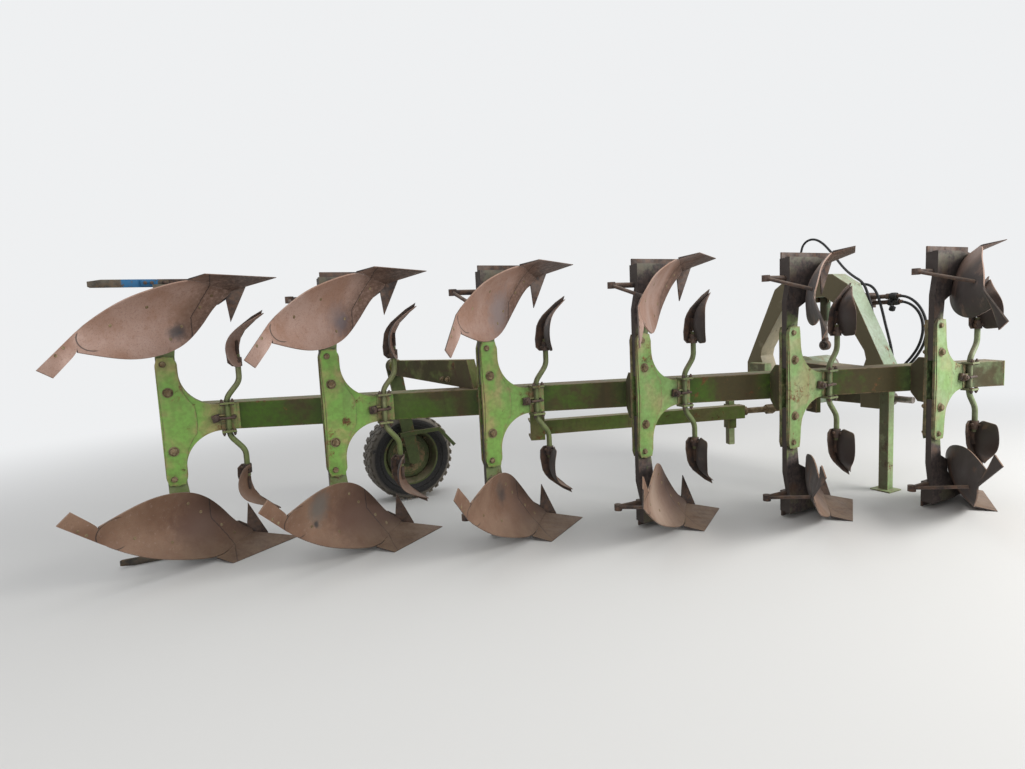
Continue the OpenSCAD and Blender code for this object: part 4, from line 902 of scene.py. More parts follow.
def mark_boards(bm, back=0.0):
    """UV map and attribute by which the boards' finish follows each body.

    back moves the map's places to the rear, away from the dark front of a board."""
    uv = bm.loops.layers.uv.new("board")
    lower = bm.verts.layers.float.new("lower")
    for vert in bm.verts:
        vert[lower] = 1.0 if vert.co.z < BEAM_Z else 0.0
    for face in bm.faces:
        middle = face.calc_center_median() - ORIGIN
        i = min(range(FURROWS), key=lambda k: abs(body_line(middle, k)))
        for loop in face.loops:
            p = loop.vert.co - ORIGIN
            loop[uv].uv = (p.x - unit_shift(i) * FURROW_STEP - back, abs(p.z))


def board_piece(node):
    """A smooth copy of the bent plates of a CAD node."""
    bm = merged_copy(node)
    bmesh.ops.join_triangles(bm, faces=bm.faces, cmp_seam=False, cmp_sharp=False, cmp_uvs=False,
                             cmp_vcols=False, cmp_materials=False, angle_face_threshold=0.7,
                             angle_shape_threshold=3.1)
    crease = bm.edges.layers.float.new("crease_edge")
    for edge in bm.edges:
        if len(edge.link_faces) == 2 and edge.calc_face_angle() > math.radians(CREASE_FROM):
            edge[crease] = 1.0
    mark_boards(bm)
    obj = mesh_object(node + "_smooth", bm)
    smooth_by_angle(obj, CREASE_FROM)
    smooth_bend(obj)
    finish, slot = FINISHES[node]
    return carry(obj, finish, BODY_OF[node], (node,))


def add_shares():
    bm = flat_copy("shares")
    mark_boards(bm)
    shares = mesh_object("shares_dressed", bm)
    smooth_by_angle(shares, ROUND_FROM)
    round_edges(shares, 0.0015, harden=False)
    carry(shares, BOARD, "frame", ("shares",))


add_shares()
MOULDBOARDS = board_piece("mouldboards")
TAIL_PIECES = board_piece("tail_pieces")

# Shapes that the fittings are made of
LEFT = Vector((0, 1, 0))
RIGHT = Vector((0, -1, 0))


def aimed(place, direction, spin=0.0):
    """A matrix at a place, with its z axis along a direction."""
    turn = Vector(direction).to_track_quat("Z", "Y").to_matrix().to_4x4()
    return Matrix.Translation(place) @ turn @ Matrix.Rotation(spin, 4, "Z")


def lifted(matrix, height):
    """The matrix moved along its own z axis."""
    return matrix @ Matrix.Translation((0, 0, height))


def break_edges(bm, edges, width, segments=1):
    bmesh.ops.bevel(bm, geom=edges, offset=width, segments=segments, profile=0.5, affect="EDGES",
                    material=-1)


def edges_of(verts):
    return {e for v in verts for e in v.link_edges}


def add_disc(bm, matrix, radius, height, sides=24, chamfer=0.0, top_radius=None):
    """A disc or hexagon that stands on the matrix's plane, with its top edge chamfered."""
    top_radius = radius if top_radius is None else top_radius
    made = bmesh.ops.create_cone(bm, cap_ends=True, segments=sides, radius1=radius, radius2=top_radius,
                                 depth=height, matrix=lifted(matrix, height / 2))
    if chamfer:
        up = matrix.to_3x3() @ Vector((0, 0, 1))
        top = matrix @ Vector((0, 0, height))
        rim = [e for e in edges_of(made["verts"])
               if all(abs((v.co - top).dot(up)) < 0.00001 for v in e.verts)]
        break_edges(bm, rim, chamfer)


def add_hexagon(bm, matrix, flats, height):
    add_disc(bm, matrix, flats / 2 / math.cos(math.pi / 6), height, 6, 0.14 * height)


def add_bolt(bm, matrix, flats, height, washer=0.0, washer_t=0.0, stub=0.0):
    """A hexagon on a washer, and the bolt's end beyond it. A size of 0 leaves a part out."""
    if washer:
        add_disc(bm, matrix, washer / 2, washer_t, 28, 0.2 * washer_t)
    add_hexagon(bm, lifted(matrix, washer_t), flats, height)
    if stub:
        add_disc(bm, lifted(matrix, washer_t + height), 0.32 * flats, stub, 16, 0.25 * stub)


def add_block(bm, matrix, size, rounding=0.0015, segments=2):
    """A block centred on the matrix, with rounded edges."""
    made = bmesh.ops.create_cube(bm, size=1.0, matrix=matrix @ Matrix.Diagonal((*size, 1)))
    break_edges(bm, list(edges_of(made["verts"])), rounding, segments)


def add_plate(bm, corners, thickness):
    """A plate from its corners and the step to its other side; gives the vertices of both sides."""
    near = [bm.verts.new(corner) for corner in corners]
    grown = bmesh.ops.extrude_face_region(bm, geom=[bm.faces.new(near)])
    far = [v for v in grown["geom"] if isinstance(v, bmesh.types.BMVert)]
    bmesh.ops.translate(bm, verts=far, vec=thickness)
    return near, far


def add_turned(bm, matrix, outline, steps=24, solid=False):
    """A ring turned about the matrix's z axis from an outline of (radius, height) points.

    A solid's outline runs from the axis back to the axis."""
    verts = [bm.verts.new(matrix @ Vector((r, 0, h))) for r, h in outline]
    pairs = zip(verts[:-1], verts[1:]) if solid else zip(verts, verts[1:] + verts[:1])
    edges = [bm.edges.new(pair) for pair in pairs]
    bmesh.ops.spin(bm, geom=verts + edges, cent=matrix.translation,
                   axis=matrix.to_3x3() @ Vector((0, 0, 1)), angle=2 * math.pi, steps=steps, use_merge=True)
    if solid:
        bmesh.ops.remove_doubles(bm, verts=bm.verts, dist=0.00001)


def add_piece(name, bm, finish, body, replaced=(), angle=35):
    """Makes a piece of the plough from a finished mesh."""
    bmesh.ops.recalc_face_normals(bm, faces=bm.faces)
    obj = mesh_object(name, bm)
    smooth_by_angle(obj, angle)
    return carry(obj, finish, body, replaced)


# Facing plates on the outer sides of each pair of side plates, with a bowed front edge.
# The edge's points are ahead of the pivot line and away from the beam's centre. The ends and the
# middle of the rear edge are ahead of its two widest places by FACING_BOW.
FACING_EDGE = ((0.048, 0.398), (0.055, 0.365), (0.063, 0.265), (0.080, 0.178), (0.110, 0.121),
               (0.136, 0.086), (0.143, 0.030))
FACING_REAR = 0.054
FACING_BOW = 0.012
FACING_T = 0.005
FACING_SEAT = 0.0002


def add_facing_plates():
    bm = bmesh.new()
    front = [(x, z) for x, z in FACING_EDGE] + [(x, -z) for x, z in reversed(FACING_EDGE)]
    waist = FACING_BOW - FACING_REAR
    rear = [(waist, -0.398), (-FACING_REAR, -0.360), (waist, 0), (-FACING_REAR, 0.360), (waist, 0.398)]
    for i in range(FURROWS):
        for y, out in ((0.0, -1), (CHEEK_PAIR_W, 1)):
            corners = [unit_at(i, x, y + out * FACING_SEAT, z) for x, z in front + rear]
            _, top = add_plate(bm, corners, (0, out * FACING_T, 0))
            rim = [e for e in edges_of(top) if all(v in top for v in e.verts)]
            break_edges(bm, rim, 0.0015, 2)
    add_piece("facing_plates", bm, LEAF, "frame")


# Bolts of the leg plates. Each is given as the width over the hexagon's flats, its height, the
# washer's diameter and thickness, and how far the bolt's end stands out of the nut.
PIVOT_HEAD = (0.036, 0.016, 0.060, 0.005)
PIVOT_NUT = (0.036, 0.019, 0.052, 0.004, 0.009)
SHEAR_HEAD = (0.027, 0.011, 0.038, 0.003)
SHEAR_NUT = (0.027, 0.013, 0.038, 0.003, 0.007)


def add_leg_bolts():
    for name, back, height, head, nut in (("pivot_bolt", 0, PIVOT_Z, PIVOT_HEAD, PIVOT_NUT),
                                          ("shear_bolt", SHEAR_BACK, SHEAR_Z, SHEAR_HEAD, SHEAR_NUT)):
        bm = bmesh.new()
        for i in range(FURROWS):
            for side in (-1, 1):
                spin = 0.6 * i + side
                near = unit_at(i, -back, -FACING_T, side * height)
                far = unit_at(i, -back, CHEEK_PAIR_W + FACING_T, side * height)
                add_bolt(bm, aimed(near, RIGHT, spin), *head)
                add_bolt(bm, aimed(far, LEFT, spin), *nut)
        add_piece(name + "_heads", bm, BOLT, "frame", (name + "s",))


# Skimmer stalks as smoothly bent bars. A stalk's places are ahead of the pivot line and above the
# beam's centre.
STALK_X = 0.320
STALK_JOG = 0.085
STALK_END_X = STALK_X + STALK_JOG
STALK_Y = -0.0225
STALK_R = 0.0175
STALK_BEND_R = 0.10
STALK_LINE = ((STALK_END_X, -0.395), (STALK_END_X, -0.225), (STALK_X, -0.122),
              (STALK_X, 0.122), (STALK_END_X, 0.225), (STALK_END_X, 0.395))


def rounded_route(corners, radius, steps=5):
    """Points along straight lines with their inner corners rounded."""
    route = [corners[0]]
    for before, corner, after in zip(corners[:-2], corners[1:-1], corners[2:]):
        back = (before - corner).normalized()
        on = (after - corner).normalized()
        cut = min(radius * math.tan((math.pi - back.angle(on)) / 2), 0.49 * (before - corner).length,
                  0.49 * (after - corner).length)
        for k in range(steps + 1):
            t = k / steps
            one = corner + back * cut * (1 - t)
            two = corner + on * cut * t
            route.append(one.lerp(two, t))
    route.append(corners[-1])
    return route


def add_stalks():
    routes = []
    for i in range(FURROWS):
        corners = [unit_at(i, x, STALK_Y, z) for x, z in STALK_LINE]
        routes.append(rounded_route(corners, STALK_BEND_R))
    stalks, _ = swept("bent_stalks", routes, STALK_R, steps=3)
    carry(stalks, STALK, "frame", ("stalks",))


# Skimmers: a horn-shaped plate in a tube on the stalk's end, and a curved leaf with a round end
# beside it. Places are ahead of the unit's pivot line, to its left, and away from the beam.
HORN = ((0.372, 0.318), (0.346, 0.342), (0.343, 0.395), (0.350, 0.435), (0.358, 0.480), (0.376, 0.514),
        (0.406, 0.550), (0.454, 0.588), (0.512, 0.632), (0.582, 0.672), (0.572, 0.642), (0.522, 0.594),
        (0.468, 0.545), (0.438, 0.495), (0.424, 0.446), (0.420, 0.400), (0.430, 0.350), (0.428, 0.318))
HORN_Y = -0.005
HORN_T = 0.010
TUBE_Z = 0.318
TUBE = ((0.0180, 0), (0.0255, 0), (0.0265, 0.003), (0.0265, 0.055), (0.0250, 0.058), (0.0180, 0.058))
LEAF_LINK = ((0.410, -0.022, 0.440), (0.020, 0.042, 0.084))
LEAF_ROWS = (((0.590, -0.008, 0.655), (0.592, 0.000, 0.650)),
             ((0.484, -0.076, 0.598), (0.528, 0.000, 0.604)),
             ((0.400, -0.140, 0.552), (0.466, 0.002, 0.548)),
             ((0.350, -0.190, 0.500), (0.434, 0.000, 0.490)),
             ((0.330, -0.208, 0.440), (0.420, -0.003, 0.418)),
             ((0.338, -0.200, 0.374), (0.424, -0.020, 0.356)),
             ((0.372, -0.174, 0.322), (0.426, -0.058, 0.312)))
LEAF_BULGE = (0.0, 0.012, 0.022, 0.026, 0.024, 0.018, 0.006)
BULGE_WAY = Vector((-0.80, 0.55, -0.20))
LEAF_T = 0.007
LEAF_COLUMNS = 4
LEAF_MAP_BACK = 0.50


def add_horn(bm, i, side):
    """The flat plate that carries a skimmer's point."""
    corners = [unit_at(i, x, HORN_Y, side * z) for x, z in HORN]
    near, far = add_plate(bm, corners, (0, HORN_T, 0))
    rims = [e for e in edges_of(near + far) if abs(e.verts[0].co.y - e.verts[1].co.y) < 0.0001]
    break_edges(bm, rims, 0.0015)


def add_tube(bm, i, side):
    """The tube round the stalk's end, its two bolts, and the link to the leaf."""
    add_turned(bm, aimed(unit_at(i, STALK_END_X, STALK_Y, side * TUBE_Z), (0, 0, side)), TUBE, 20)
    outer = unit_at(i, STALK_END_X, STALK_Y - 0.0262, side * 0.347)
    add_bolt(bm, aimed(outer, RIGHT, i), 0.019, 0.013)
    rear = unit_at(i, STALK_END_X - 0.026, STALK_Y, side * 0.340)
    add_bolt(bm, aimed(rear, (-1, 0, 0), i), 0.017, 0.012)
    (x, y, z), size = LEAF_LINK
    add_block(bm, Matrix.Translation(unit_at(i, x, y, side * z)), size)


def add_leaf(bm, i, side):
    """The curved leaf of a skimmer, drawn as a grid, without its thickness."""
    rows = len(LEAF_ROWS)
    made = bmesh.ops.create_grid(bm, x_segments=LEAF_COLUMNS, y_segments=rows - 1, size=0.5)
    for vert in made["verts"]:
        across = vert.co.x + 0.5
        row = round((vert.co.y + 0.5) * (rows - 1))
        low, top = (Vector(p) for p in LEAF_ROWS[row])
        flat = low.lerp(top, across)
        bulge = 4 * across * (1 - across) * LEAF_BULGE[row]
        x, y, z = flat + bulge * BULGE_WAY
        vert.co = unit_at(i, x, y, side * z)


def add_skimmers():
    horns = bmesh.new()
    tubes = bmesh.new()
    leaves = bmesh.new()
    for i in range(FURROWS):
        for side in (-1, 1):
            add_horn(horns, i, side)
            add_leaf(leaves, i, side)
            add_tube(tubes, i, side)
    add_piece("skimmer_horns", horns, IRON, "frame", ("skimmer_brackets",))
    add_piece("skimmer_tubes", tubes, IRON, "frame")
    bmesh.ops.recalc_face_normals(leaves, faces=leaves.faces)
    mark_boards(leaves, LEAF_MAP_BACK)
    leaf = mesh_object("skimmer_leaves", leaves)
    leaf.data.polygons.foreach_set("use_smooth", [True] * len(leaf.data.polygons))
    wall = leaf.modifiers.new("thickness", "SOLIDIFY")
    wall.thickness = LEAF_T
    wall.offset = 0
    smooth_bend(leaf)
    return carry(leaf, BOARD, "frame", ("skimmer_boards",))


# Stalk clamps: backing plate, square locking block, its two lugs, the rod across, and the nuts
CLAMP_BOLT_X = 0.031
CLAMP_FACE_Y = STALK_Y - 0.0275
CLAMP_Z = -0.004
CLAMP_NUT = (0.019, 0.011, 0.026, 0.0025, 0.008)
CLAMP_HEAD = (0.019, 0.010)
BLOCK_NUT = (0.036, 0.020, 0.0, 0.0, 0.008)
ROD_NUT = (0.024, 0.016, 0.030, 0.003, 0.012)
BACKING_SIZE = (0.092, 0.0040, 0.162)
LUG_SIZE = (0.044, 0.024, 0.009)
BLOCK_SIZE = (0.050, 0.024, 0.048)
ROD_R = 0.0075
ROD_LENGTH = 0.086


def add_clamps():
    plates = bmesh.new()
    fittings = bmesh.new()
    for i in range(FURROWS):
        backing = unit_at(i, STALK_X + 0.006, -0.0025, 0)
        add_block(plates, Matrix.Translation(backing), BACKING_SIZE, 0.001)
        for side in (-1, 1):
            for x in (-CLAMP_BOLT_X, CLAMP_BOLT_X):
                top = unit_at(i, STALK_X + x, CLAMP_FACE_Y, side * 0.0965)
                add_bolt(fittings, aimed(top, (0, 0, side), 0.4 * i), *CLAMP_NUT)
                low = unit_at(i, STALK_X + x, CLAMP_FACE_Y, side * 0.0870)
                add_bolt(fittings, aimed(low, (0, 0, -side), 0.7 * i), *CLAMP_HEAD)
            lug = unit_at(i, STALK_X - 0.033, -0.012, side * 0.017 + CLAMP_Z)
            add_block(plates, Matrix.Translation(lug), LUG_SIZE, 0.002)
        block = unit_at(i, STALK_X - 0.068, -0.012, CLAMP_Z)
        tilt = Matrix.Rotation(0.12 * (i - 2), 4, "Y")
        add_block(fittings, Matrix.Translation(block) @ tilt, BLOCK_SIZE, 0.004)
        add_bolt(fittings, aimed(block + BLOCK_SIZE[1] / 2 * RIGHT, RIGHT, 0.3 + 0.5 * i), *BLOCK_NUT)
        rod = unit_at(i, STALK_X - 0.050, STALK_Y - 0.0262, CLAMP_Z)
        add_disc(fittings, aimed(rod, (1, 0, 0)), ROD_R, ROD_LENGTH, 14, 0.001)
        small = unit_at(i, STALK_X + 0.036, -0.0050, CLAMP_Z)
        add_bolt(fittings, aimed(small, RIGHT, 0.2 * i), *ROD_NUT)
    add_piece("clamp_backing_plates", plates, LEAF, "frame")
    add_piece("clamp_fittings", fittings, IRON, "frame", ("clamp_bolts",))


# Wheel: tyre with sidewall rings and a blocky tread, wheel nuts, hub rings, valve and axle nut
TREAD_ROW = 34
TREAD_R = 0.3432
TREAD_EDGE = 0.022
SHOULDER_LUG = (0.011, 0.036, 0.058)
MIDDLE_LUG = (0.011, 0.038, 0.034)
LUG_TILT = 0.35
LUGS = ((0, -0.070, LUG_TILT, SHOULDER_LUG), (0.5, 0.070, -LUG_TILT, SHOULDER_LUG),
        (0.25, -0.019, LUG_TILT, MIDDLE_LUG), (0.75, 0.019, -LUG_TILT, MIDDLE_LUG))
TYRE_HALF = TYRE_W / 2
WHEEL_HALF = 0.088
# One side of the tyre, from the rim to the tread, as radius and distance from its middle
TYRE_SIDE = ((RIM_R + 0.0005, WHEEL_HALF), (0.236, 0.092), (0.247, TYRE_HALF - 0.012),
             (0.256, TYRE_HALF - 0.006), (0.262, TYRE_HALF - 0.009), (0.266, TYRE_HALF - 0.003),
             (0.280, TYRE_HALF - 0.001), (0.296, TYRE_HALF), (0.302, TYRE_HALF - 0.004),
             (0.306, TYRE_HALF - 0.001), (0.314, TYRE_HALF - 0.008), (0.326, TYRE_HALF - 0.020),
             (0.337, TYRE_HALF - 0.032), (0.3420, TYRE_HALF - 0.050), (TREAD_R, TREAD_EDGE))
# Radius from which mud holds to the tyre, and how far out it holds fully
MUD_FROM = 0.295
MUD_SPAN = 0.035
HUB = aimed(at(*WHEEL), LEFT)


def add_tyre():
    bm = bmesh.new()
    outline = [(r, -h) for r, h in TYRE_SIDE] + list(reversed(TYRE_SIDE))
    add_turned(bm, HUB, outline, 96)
    for k in range(TREAD_ROW):
        for row, axial, tilt, size in LUGS:
            turn = Matrix.Rotation(2 * math.pi * (k + row) / TREAD_ROW, 4, "Z")
            spot = HUB @ turn @ Matrix.Translation((TREAD_R, 0, axial))
            add_block(bm, spot @ Matrix.Rotation(tilt, 4, "X"), size, 0.0025, 1)
    tread = bm.verts.layers.float.new("tread")
    for vert in bm.verts:
        away = math.hypot(vert.co.x - HUB.translation.x, vert.co.z - HUB.translation.z)
        vert[tread] = min(1.0, max(0.0, (away - MUD_FROM) / MUD_SPAN))
    add_piece("tyre_with_tread", bm, TYRE, "wheel", ("tyre",), 40)


WHEEL_NUTS = 6
WHEEL_NUT_R = 0.088
WHEEL_NUT = (0.024, 0.016, 0.034, 0.003, 0.010)
WHEEL_HEAD = (0.024, 0.012, 0.034, 0.003)
AXLE_NUT = (0.056, 0.030, 0.072, 0.005)
# The valve's foot from the axle, its turn about the axle and its lean, then its stem and cap as
# radius and length
VALVE_FOOT = (0.186, 0, -0.022)
VALVE_TURN = 2.4
VALVE_LEAN = 2.6
VALVE_STEM = (0.0045, 0.036)
VALVE_CAP = (0.0060, 0.014)
VALVE_CAP_FROM = 0.026
# Rings on the wheel as radius and height along its axle: near collar, far cap, pressed rim ring
NEAR_COLLAR = ((0.0565, -0.071), (0.0565, -0.066), (0.060, -0.063), (0.060, -0.050), (0.0565, -0.046),
               (0.0552, -0.030), (0.0552, -0.071))
FAR_CAP = ((0.0552, 0.030), (0.0565, 0.040), (0.060, 0.044), (0.060, 0.058), (0.050, 0.0615),
           (0.034, 0.0615), (0.034, 0.0600), (0.0552, 0.0600))
PRESSED_RING = ((0.0880, -0.0207), (0.1380, -0.0207), (0.1460, -0.0230), (0.1540, -0.0207),
                (0.1540, -0.0203), (0.0880, -0.0203))


def add_wheel_fittings():
    nuts = bmesh.new()
    for k in range(WHEEL_NUTS):
        turn = HUB @ Matrix.Rotation(2 * math.pi * k / WHEEL_NUTS + 0.3, 4, "Z")
        near = turn @ Matrix.Translation((WHEEL_NUT_R, 0, -0.020)) @ Matrix.Rotation(math.pi, 4, "X")
        add_bolt(nuts, near, *WHEEL_NUT)
        add_bolt(nuts, turn @ Matrix.Translation((WHEEL_NUT_R, 0, -0.006)), *WHEEL_HEAD)
    valve_foot = HUB @ Matrix.Rotation(VALVE_TURN, 4, "Z") @ Matrix.Translation(VALVE_FOOT)
    valve = valve_foot @ Matrix.Rotation(VALVE_LEAN, 4, "Y")
    add_disc(nuts, valve, *VALVE_STEM, 12, 0.001)
    add_disc(nuts, lifted(valve, VALVE_CAP_FROM), *VALVE_CAP, 12, 0.001)
    add_piece("wheel_nuts_and_valve", nuts, BOLT, "wheel")
    rings = bmesh.new()
    add_turned(rings, HUB, NEAR_COLLAR, 36)
    add_turned(rings, HUB, FAR_CAP, 36)
    add_turned(rings, HUB, PRESSED_RING, 60)
    add_piece("hub_rings", rings, OLIVE, "wheel")
    axle = bmesh.new()
    add_bolt(axle, lifted(HUB, 0.0640), *AXLE_NUT)
    add_piece("axle_nut", axle, BOLT, "wheel_leg")


# Long rear landsides of the rearmost unit, with remains of blue paint on the upper one
LANDSIDE_TIP = -0.357
LANDSIDE_END = -0.0005
LANDSIDE_LOW = 0.834
LANDSIDE_HIGH = 0.885
LANDSIDE_Y = 0.103
LANDSIDE_T = 0.011
STRAP_T = 0.010
STRAP_LENGTH = 0.150
STRAP_HEIGHT = 0.036
STRAP_GAP = 0.0005
STRAP_BOLTS = (-0.060, -0.025, 0.045)
# Middle and half length of the painted stretch, and how softly it ends
PAINT_X = -0.085
PAINT_HALF = 0.098
PAINT_SOFT = 0.008


def landside_finish():
    mat = rusted("rear_landside_iron", (0.045, 0.040, 0.034), (0.110, 0.095, 0.070), (0.150, 0.095, 0.050))
    tree = mat.node_tree
    shader = tree.nodes["Principled BSDF"]
    bare = shader.inputs["Base Color"].links[0].from_socket
    place = own_place(tree)
    spots = noise_at(tree, place, 30.0, 5.0, 0.65)
    ragged = plus(tree, axis_of(tree, place, "X"), ramp(tree, spots, 0.3, 0.7, -0.012, 0.012))
    away = off(tree, minus(tree, ragged, unit_at(0, PAINT_X, 0, 0).x))
    left = times(tree, ramp(tree, away, PAINT_HALF, PAINT_HALF - PAINT_SOFT),
                 ramp(tree, spots, 0.34, 0.46, 0.1, 0.95))
    left = times(tree, left, math_node(tree, "GREATER_THAN", axis_of(tree, place, "Z"), BEAM_Z))
    tree.links.new(blend(tree, left, bare, (0.012, 0.120, 0.270)), shader.inputs["Base Color"])
    return mat


def add_rear_landsides():
    bars = bmesh.new()
    bolts = bmesh.new()
    inner = LANDSIDE_Y - LANDSIDE_T
    outline = ((LANDSIDE_TIP, LANDSIDE_LOW + 0.006), (LANDSIDE_TIP + 0.012, LANDSIDE_LOW),
               (LANDSIDE_END, LANDSIDE_LOW), (LANDSIDE_END, LANDSIDE_HIGH - 0.003),
               (LANDSIDE_TIP + 0.070, LANDSIDE_HIGH - 0.003), (LANDSIDE_TIP, LANDSIDE_HIGH - 0.014))
    for side in (-1, 1):
        middle = side * (LANDSIDE_LOW + LANDSIDE_HIGH) / 2
        near, far = add_plate(bars, [unit_at(0, x, inner, side * z) for x, z in outline], (0, LANDSIDE_T, 0))
        break_edges(bars, list(edges_of(near + far)), 0.002, 2)
        strap = unit_at(0, -0.010, inner - STRAP_T / 2 - STRAP_GAP, middle)
        add_block(bars, Matrix.Translation(strap), (STRAP_LENGTH, STRAP_T, STRAP_HEIGHT), 0.002)
        for x in STRAP_BOLTS:
            place = unit_at(0, x, inner - STRAP_T - STRAP_GAP, middle)
            add_bolt(bolts, aimed(place, RIGHT, 9 * x), 0.019, 0.010, stub=0.006)
    add_piece("rear_landsides", bars, landside_finish(), "frame")
    add_piece("rear_landside_bolts", bolts, IRON, "frame")


# Eye of the turnover ram, round the pin of the rod's end
RAM_EYE = (2.717, TURN_Y, 0.190)
EYE_RING = ((0.0384, -0.0230), (0.0405, -0.0230), (0.0430, -0.0200), (0.0430, 0.0200), (0.0405, 0.0230),
            (0.0384, 0.0230))
EYE_CHEEK_X = 0.0202
EYE_CHEEK = (0.0300, 0.0050)
EYE_PIN_END = (0.0150, 0.0160)
EYE_NECK = (0.0275, 0.030)
EYE_NECK_UP = 0.036


def add_ram_eye():
    bm = bmesh.new()
    centre = Vector(RAM_EYE)
    add_turned(bm, aimed(at(*centre), (1, 0, 0)), EYE_RING, 32)
    for side in (-1, 1):
        face = aimed(at(*(centre + Vector((side * EYE_CHEEK_X, 0, 0)))), (side, 0, 0))
        add_disc(bm, face, *EYE_CHEEK, 28, 0.0012)
        add_disc(bm, lifted(face, EYE_CHEEK[1]), *EYE_PIN_END, 20, 0.0020)
    neck = aimed(at(*(centre + Vector((0, 0, EYE_NECK_UP)))), (0, 0, 1))
    add_disc(bm, neck, *EYE_NECK, 24, 0.004)
    add_piece("ram_eye", bm, IRON, "headstock")


# Parking leg: a guide under the stay beam, and a bar on the leg that is still in it when the leg is
# down. Heights are above the main beam's centre.
PARKING_LEG_S = 0.050
GUIDE_T = 0.008
GUIDE_GAP = 0.001
GUIDE_END = -0.385
BAR_S = 0.030
BAR_TOP = 0.020
BAR_SUNK = 0.004
BAR_FOOT = (0.042, 0.042, 0.006)
BAR_HOLES = 3
BAR_HOLE_FIRST = 0.040
BAR_HOLE_STEP = 0.045
BAR_HOLE_RIM = ((0.0060, -0.0005), (0.0100, -0.0005), (0.0090, 0.0016), (0.0070, 0.0016))
GUIDE_BOSS_R = 0.016
GUIDE_BOSS_T = 0.012


def add_parking_leg_guide():
    low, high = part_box("parking_leg")
    beam_low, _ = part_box("stay_beam")
    # A square of side s that is turned by an angle fills a box as wide as s (cos + sin)
    width = (high.x - low.x) / PARKING_LEG_S
    turn = Matrix.Rotation(-0.5 * math.asin(width * width - 1), 4, "Z")
    centre = (low + high) / 2
    end = at(0, 0, GUIDE_END).z
    half = (PARKING_LEG_S + GUIDE_T) / 2 + GUIDE_GAP
    middle = Vector((centre.x, centre.y, (end + beam_low.z) / 2))
    guide = bmesh.new()
    for step in range(4):
        side = turn @ Matrix.Rotation(step * math.pi / 2, 4, "Z")
        wall = Matrix.Translation(middle) @ side @ Matrix.Translation((half, GUIDE_T / 2, 0))
        add_block(guide, wall, (GUIDE_T, PARKING_LEG_S + 2 * GUIDE_GAP + GUIDE_T, beam_low.z - end))
    out = turn @ LEFT
    boss = middle + (half + GUIDE_T / 2) * out
    add_disc(guide, aimed(boss, out), GUIDE_BOSS_R, GUIDE_BOSS_T, 24, 0.002)
    add_bolt(guide, aimed(boss + GUIDE_BOSS_T * out, out), 0.019, 0.012)
    add_piece("parking_leg_guide", guide, CROSS, "frame")
    bar = bmesh.new()
    bar_low = high.z - BAR_SUNK
    bar_high = at(0, 0, BAR_TOP).z
    stem = Matrix.Translation((centre.x, centre.y, (bar_low + bar_high) / 2)) @ turn
    add_block(bar, stem, (BAR_S, BAR_S, bar_high - bar_low), 0.003)
    foot = Matrix.Translation((centre.x, centre.y, high.z + BAR_FOOT[2] / 2)) @ turn
    add_block(bar, foot, BAR_FOOT, 0.002)
    for k in range(BAR_HOLES):
        hole = centre - BAR_S / 2 * out
        hole.z = high.z + BAR_HOLE_FIRST + BAR_HOLE_STEP * k
        add_turned(bar, aimed(hole, -out), BAR_HOLE_RIM, 20)
    add_piece("parking_leg_bar", bar, STAND, "parking_stand")


# Two bolts through the cross arm's root, on its near face and its far face
ARM_BOLTS = ((-0.5655, 0.724), (-0.5485, 0.661))
ARM_BOLT_Z = 0.142
ARM_NEAR_SIDE = Vector((-0.965, -0.261, 0))
ARM_BOLT_SEAT = Vector((-0.0006, 0, 0))
ARM_THROUGH = Vector((0.0682, 0.0184, 0))
ARM_BOLT_NUT = (0.030, 0.014, 0.042, 0.003, 0.008)
ARM_BOLT_HEAD = (0.030, 0.012, 0.042, 0.003)


def add_cross_arm_bolts():
    bm = bmesh.new()
    for x, y in ARM_BOLTS:
        place = at(x, y, ARM_BOLT_Z)
        add_bolt(bm, aimed(place + ARM_BOLT_SEAT, ARM_NEAR_SIDE, 3 * y), *ARM_BOLT_NUT)
        add_bolt(bm, aimed(place + ARM_THROUGH, -ARM_NEAR_SIDE, 5 * y), *ARM_BOLT_HEAD)
    add_piece("cross_arm_bolts", bm, BOLT, "frame")


# Hose couplings in their rack, their rubber covers, and the ferrules on the hoses' ends. Outlines
# are radius and height along the hose's axis.
COUPLING_PLUG = ((0.0, 0), (0.0125, 0), (0.0140, 0.003), (0.0140, 0.030), (0.0165, 0.033), (0.0165, 0.050),
                 (0.0, 0.050))
COUPLING_SLEEVE = ((0.0165, 0.028), (0.0215, 0.030), (0.0225, 0.034), (0.0225, 0.040), (0.0205, 0.042),
                   (0.0225, 0.044), (0.0225, 0.056), (0.0205, 0.060), (0.0165, 0.060))
COUPLING_COVER = ((0.0200, -0.030), (0.0250, -0.026), (0.0270, -0.010), (0.0270, 0.016), (0.0245, 0.024),
                  (0.0200, 0.026))
COUPLING_HEX = (0.034, 0.022)
FERRULE_HEX = (0.030, 0.014)
CAP_SIZE = (0.0225, 0.030)
CAP_TAB = (0.010, 0.005, 0.036)
FERRULE_IN = HOSE_D / 2 + 0.0004
FERRULE = ((FERRULE_IN, 0.014), (0.0140, 0.015), (0.0140, 0.046), (0.0125, 0.048), (FERRULE_IN, 0.048))


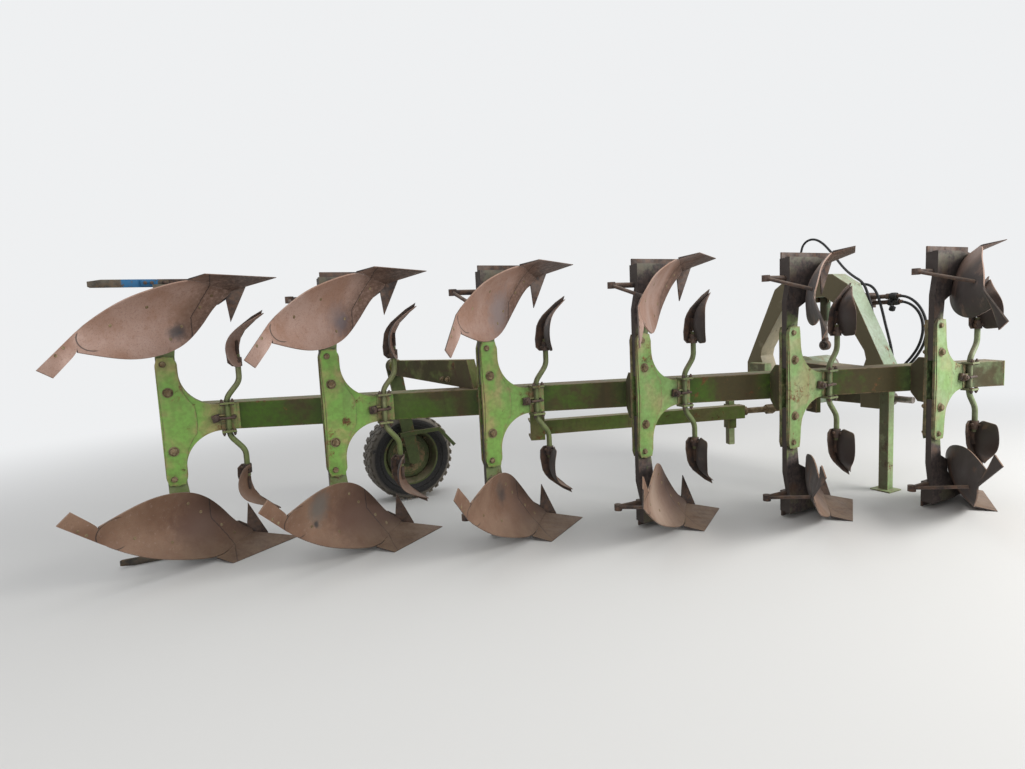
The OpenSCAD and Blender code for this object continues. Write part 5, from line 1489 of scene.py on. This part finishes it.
def add_couplings():
    bodies = bmesh.new()
    covers = bmesh.new()
    for x, y, z in (UPPER_ROUTE[0], LOWER_ROUTE[0]):
        end = aimed(head_at(x, y, z), LEFT)
        add_turned(bodies, lifted(end, -0.052), COUPLING_PLUG, 24, solid=True)
        add_hexagon(bodies, lifted(end, 0.002), *COUPLING_HEX)
        add_turned(bodies, end, COUPLING_SLEEVE, 28)
        add_turned(covers, lifted(end, 0.002), COUPLING_COVER, 24)
        cap = aimed(head_at(x - 0.004, y + 0.020, z - 0.040), (0.25, 0.45, -1))
        add_disc(covers, cap, *CAP_SIZE, 24, 0.004)
        add_block(covers, lifted(cap, -0.008), CAP_TAB, 0.001)
    add_piece("hose_couplings", bodies, IRON, "headstock")
    add_piece("coupling_covers", covers, HOSE, "headstock")


def add_ferrules():
    bm = bmesh.new()
    for tip, inner in (LOOP_ROUTE[:2], LOOP_ROUTE[:-3:-1], LEG_ROUTE[:2], LEG_ROUTE[:-3:-1],
                       UPPER_ROUTE[:-3:-1], LOWER_ROUTE[:-3:-1]):
        place = aimed(head_at(*tip), Vector(inner) - Vector(tip))
        add_hexagon(bm, lifted(place, 0.0004), *FERRULE_HEX)
        add_turned(bm, place, FERRULE, 24)
    add_piece("hose_ferrules", bm, PIN, "headstock")


# Bolts through boards, tail pieces and skimmers, set on the surface that they go through. Places
# are ahead of the unit's pivot line and away from the beam, seen along the boards' facing.
BOARD_FACING = Vector((0.53, -0.85, 0)).normalized()
BOARD_BOLTS = ((0.115, 0.585), (0.225, 0.700), (0.040, 0.510), (0.285, 0.770), (-0.215, 0.600),
               (-0.060, 0.700))
TAIL_BOLTS = ((-0.400, 0.492), (-0.432, 0.455))
SKIMMER_BOLTS = ((0.468, 0.505), (0.505, 0.575))
BOARD_BOLT_R = 0.0105
TAIL_BOLT_R = 0.0095
SKIMMER_BOLT_R = 0.0085
PLOUGH_BOLT_T = 0.0026
PLOUGH_BOLT_SUNK = 0.0008
LOOK_FROM = 0.45
LOOK_REACH = 0.9


def surface_of(obj):
    bm = bmesh.new()
    bm.from_object(obj, bpy.context.evaluated_depsgraph_get())
    tree = BVHTree.FromBMesh(bm)
    bm.free()
    return tree


def add_plough_bolts(boards, tails, skimmers):
    bm = bmesh.new()
    for obj, places, radius in ((boards, BOARD_BOLTS, BOARD_BOLT_R), (tails, TAIL_BOLTS, TAIL_BOLT_R),
                                (skimmers, SKIMMER_BOLTS, SKIMMER_BOLT_R)):
        surface = surface_of(obj)
        sites = [unit_at(i, x, x - 0.10 if x < 0 else 0.35 * x - 0.06, side * z)
                 for i in range(FURROWS) for side in (-1, 1) for x, z in places]
        for site in sites:
            hit, normal, _, _ = surface.ray_cast(site + LOOK_FROM * BOARD_FACING, -BOARD_FACING, LOOK_REACH)
            if hit is None:
                continue
            if normal.dot(BOARD_FACING) < 0:
                normal = -normal
            add_disc(bm, aimed(hit - PLOUGH_BOLT_SUNK * normal, normal), radius, PLOUGH_BOLT_T, 14,
                     top_radius=0.8 * radius)
    add_piece("plough_bolt_heads", bm, BOLT, "frame")


add_facing_plates()
add_rear_landsides()
add_ram_eye()
add_couplings()
add_ferrules()
add_cross_arm_bolts()
add_leg_bolts()
add_tyre()
add_wheel_fittings()
add_stalks()
add_clamps()
add_parking_leg_guide()
SKIMMER_LEAVES = add_skimmers()
add_plough_bolts(MOULDBOARDS, TAIL_PIECES, SKIMMER_LEAVES)
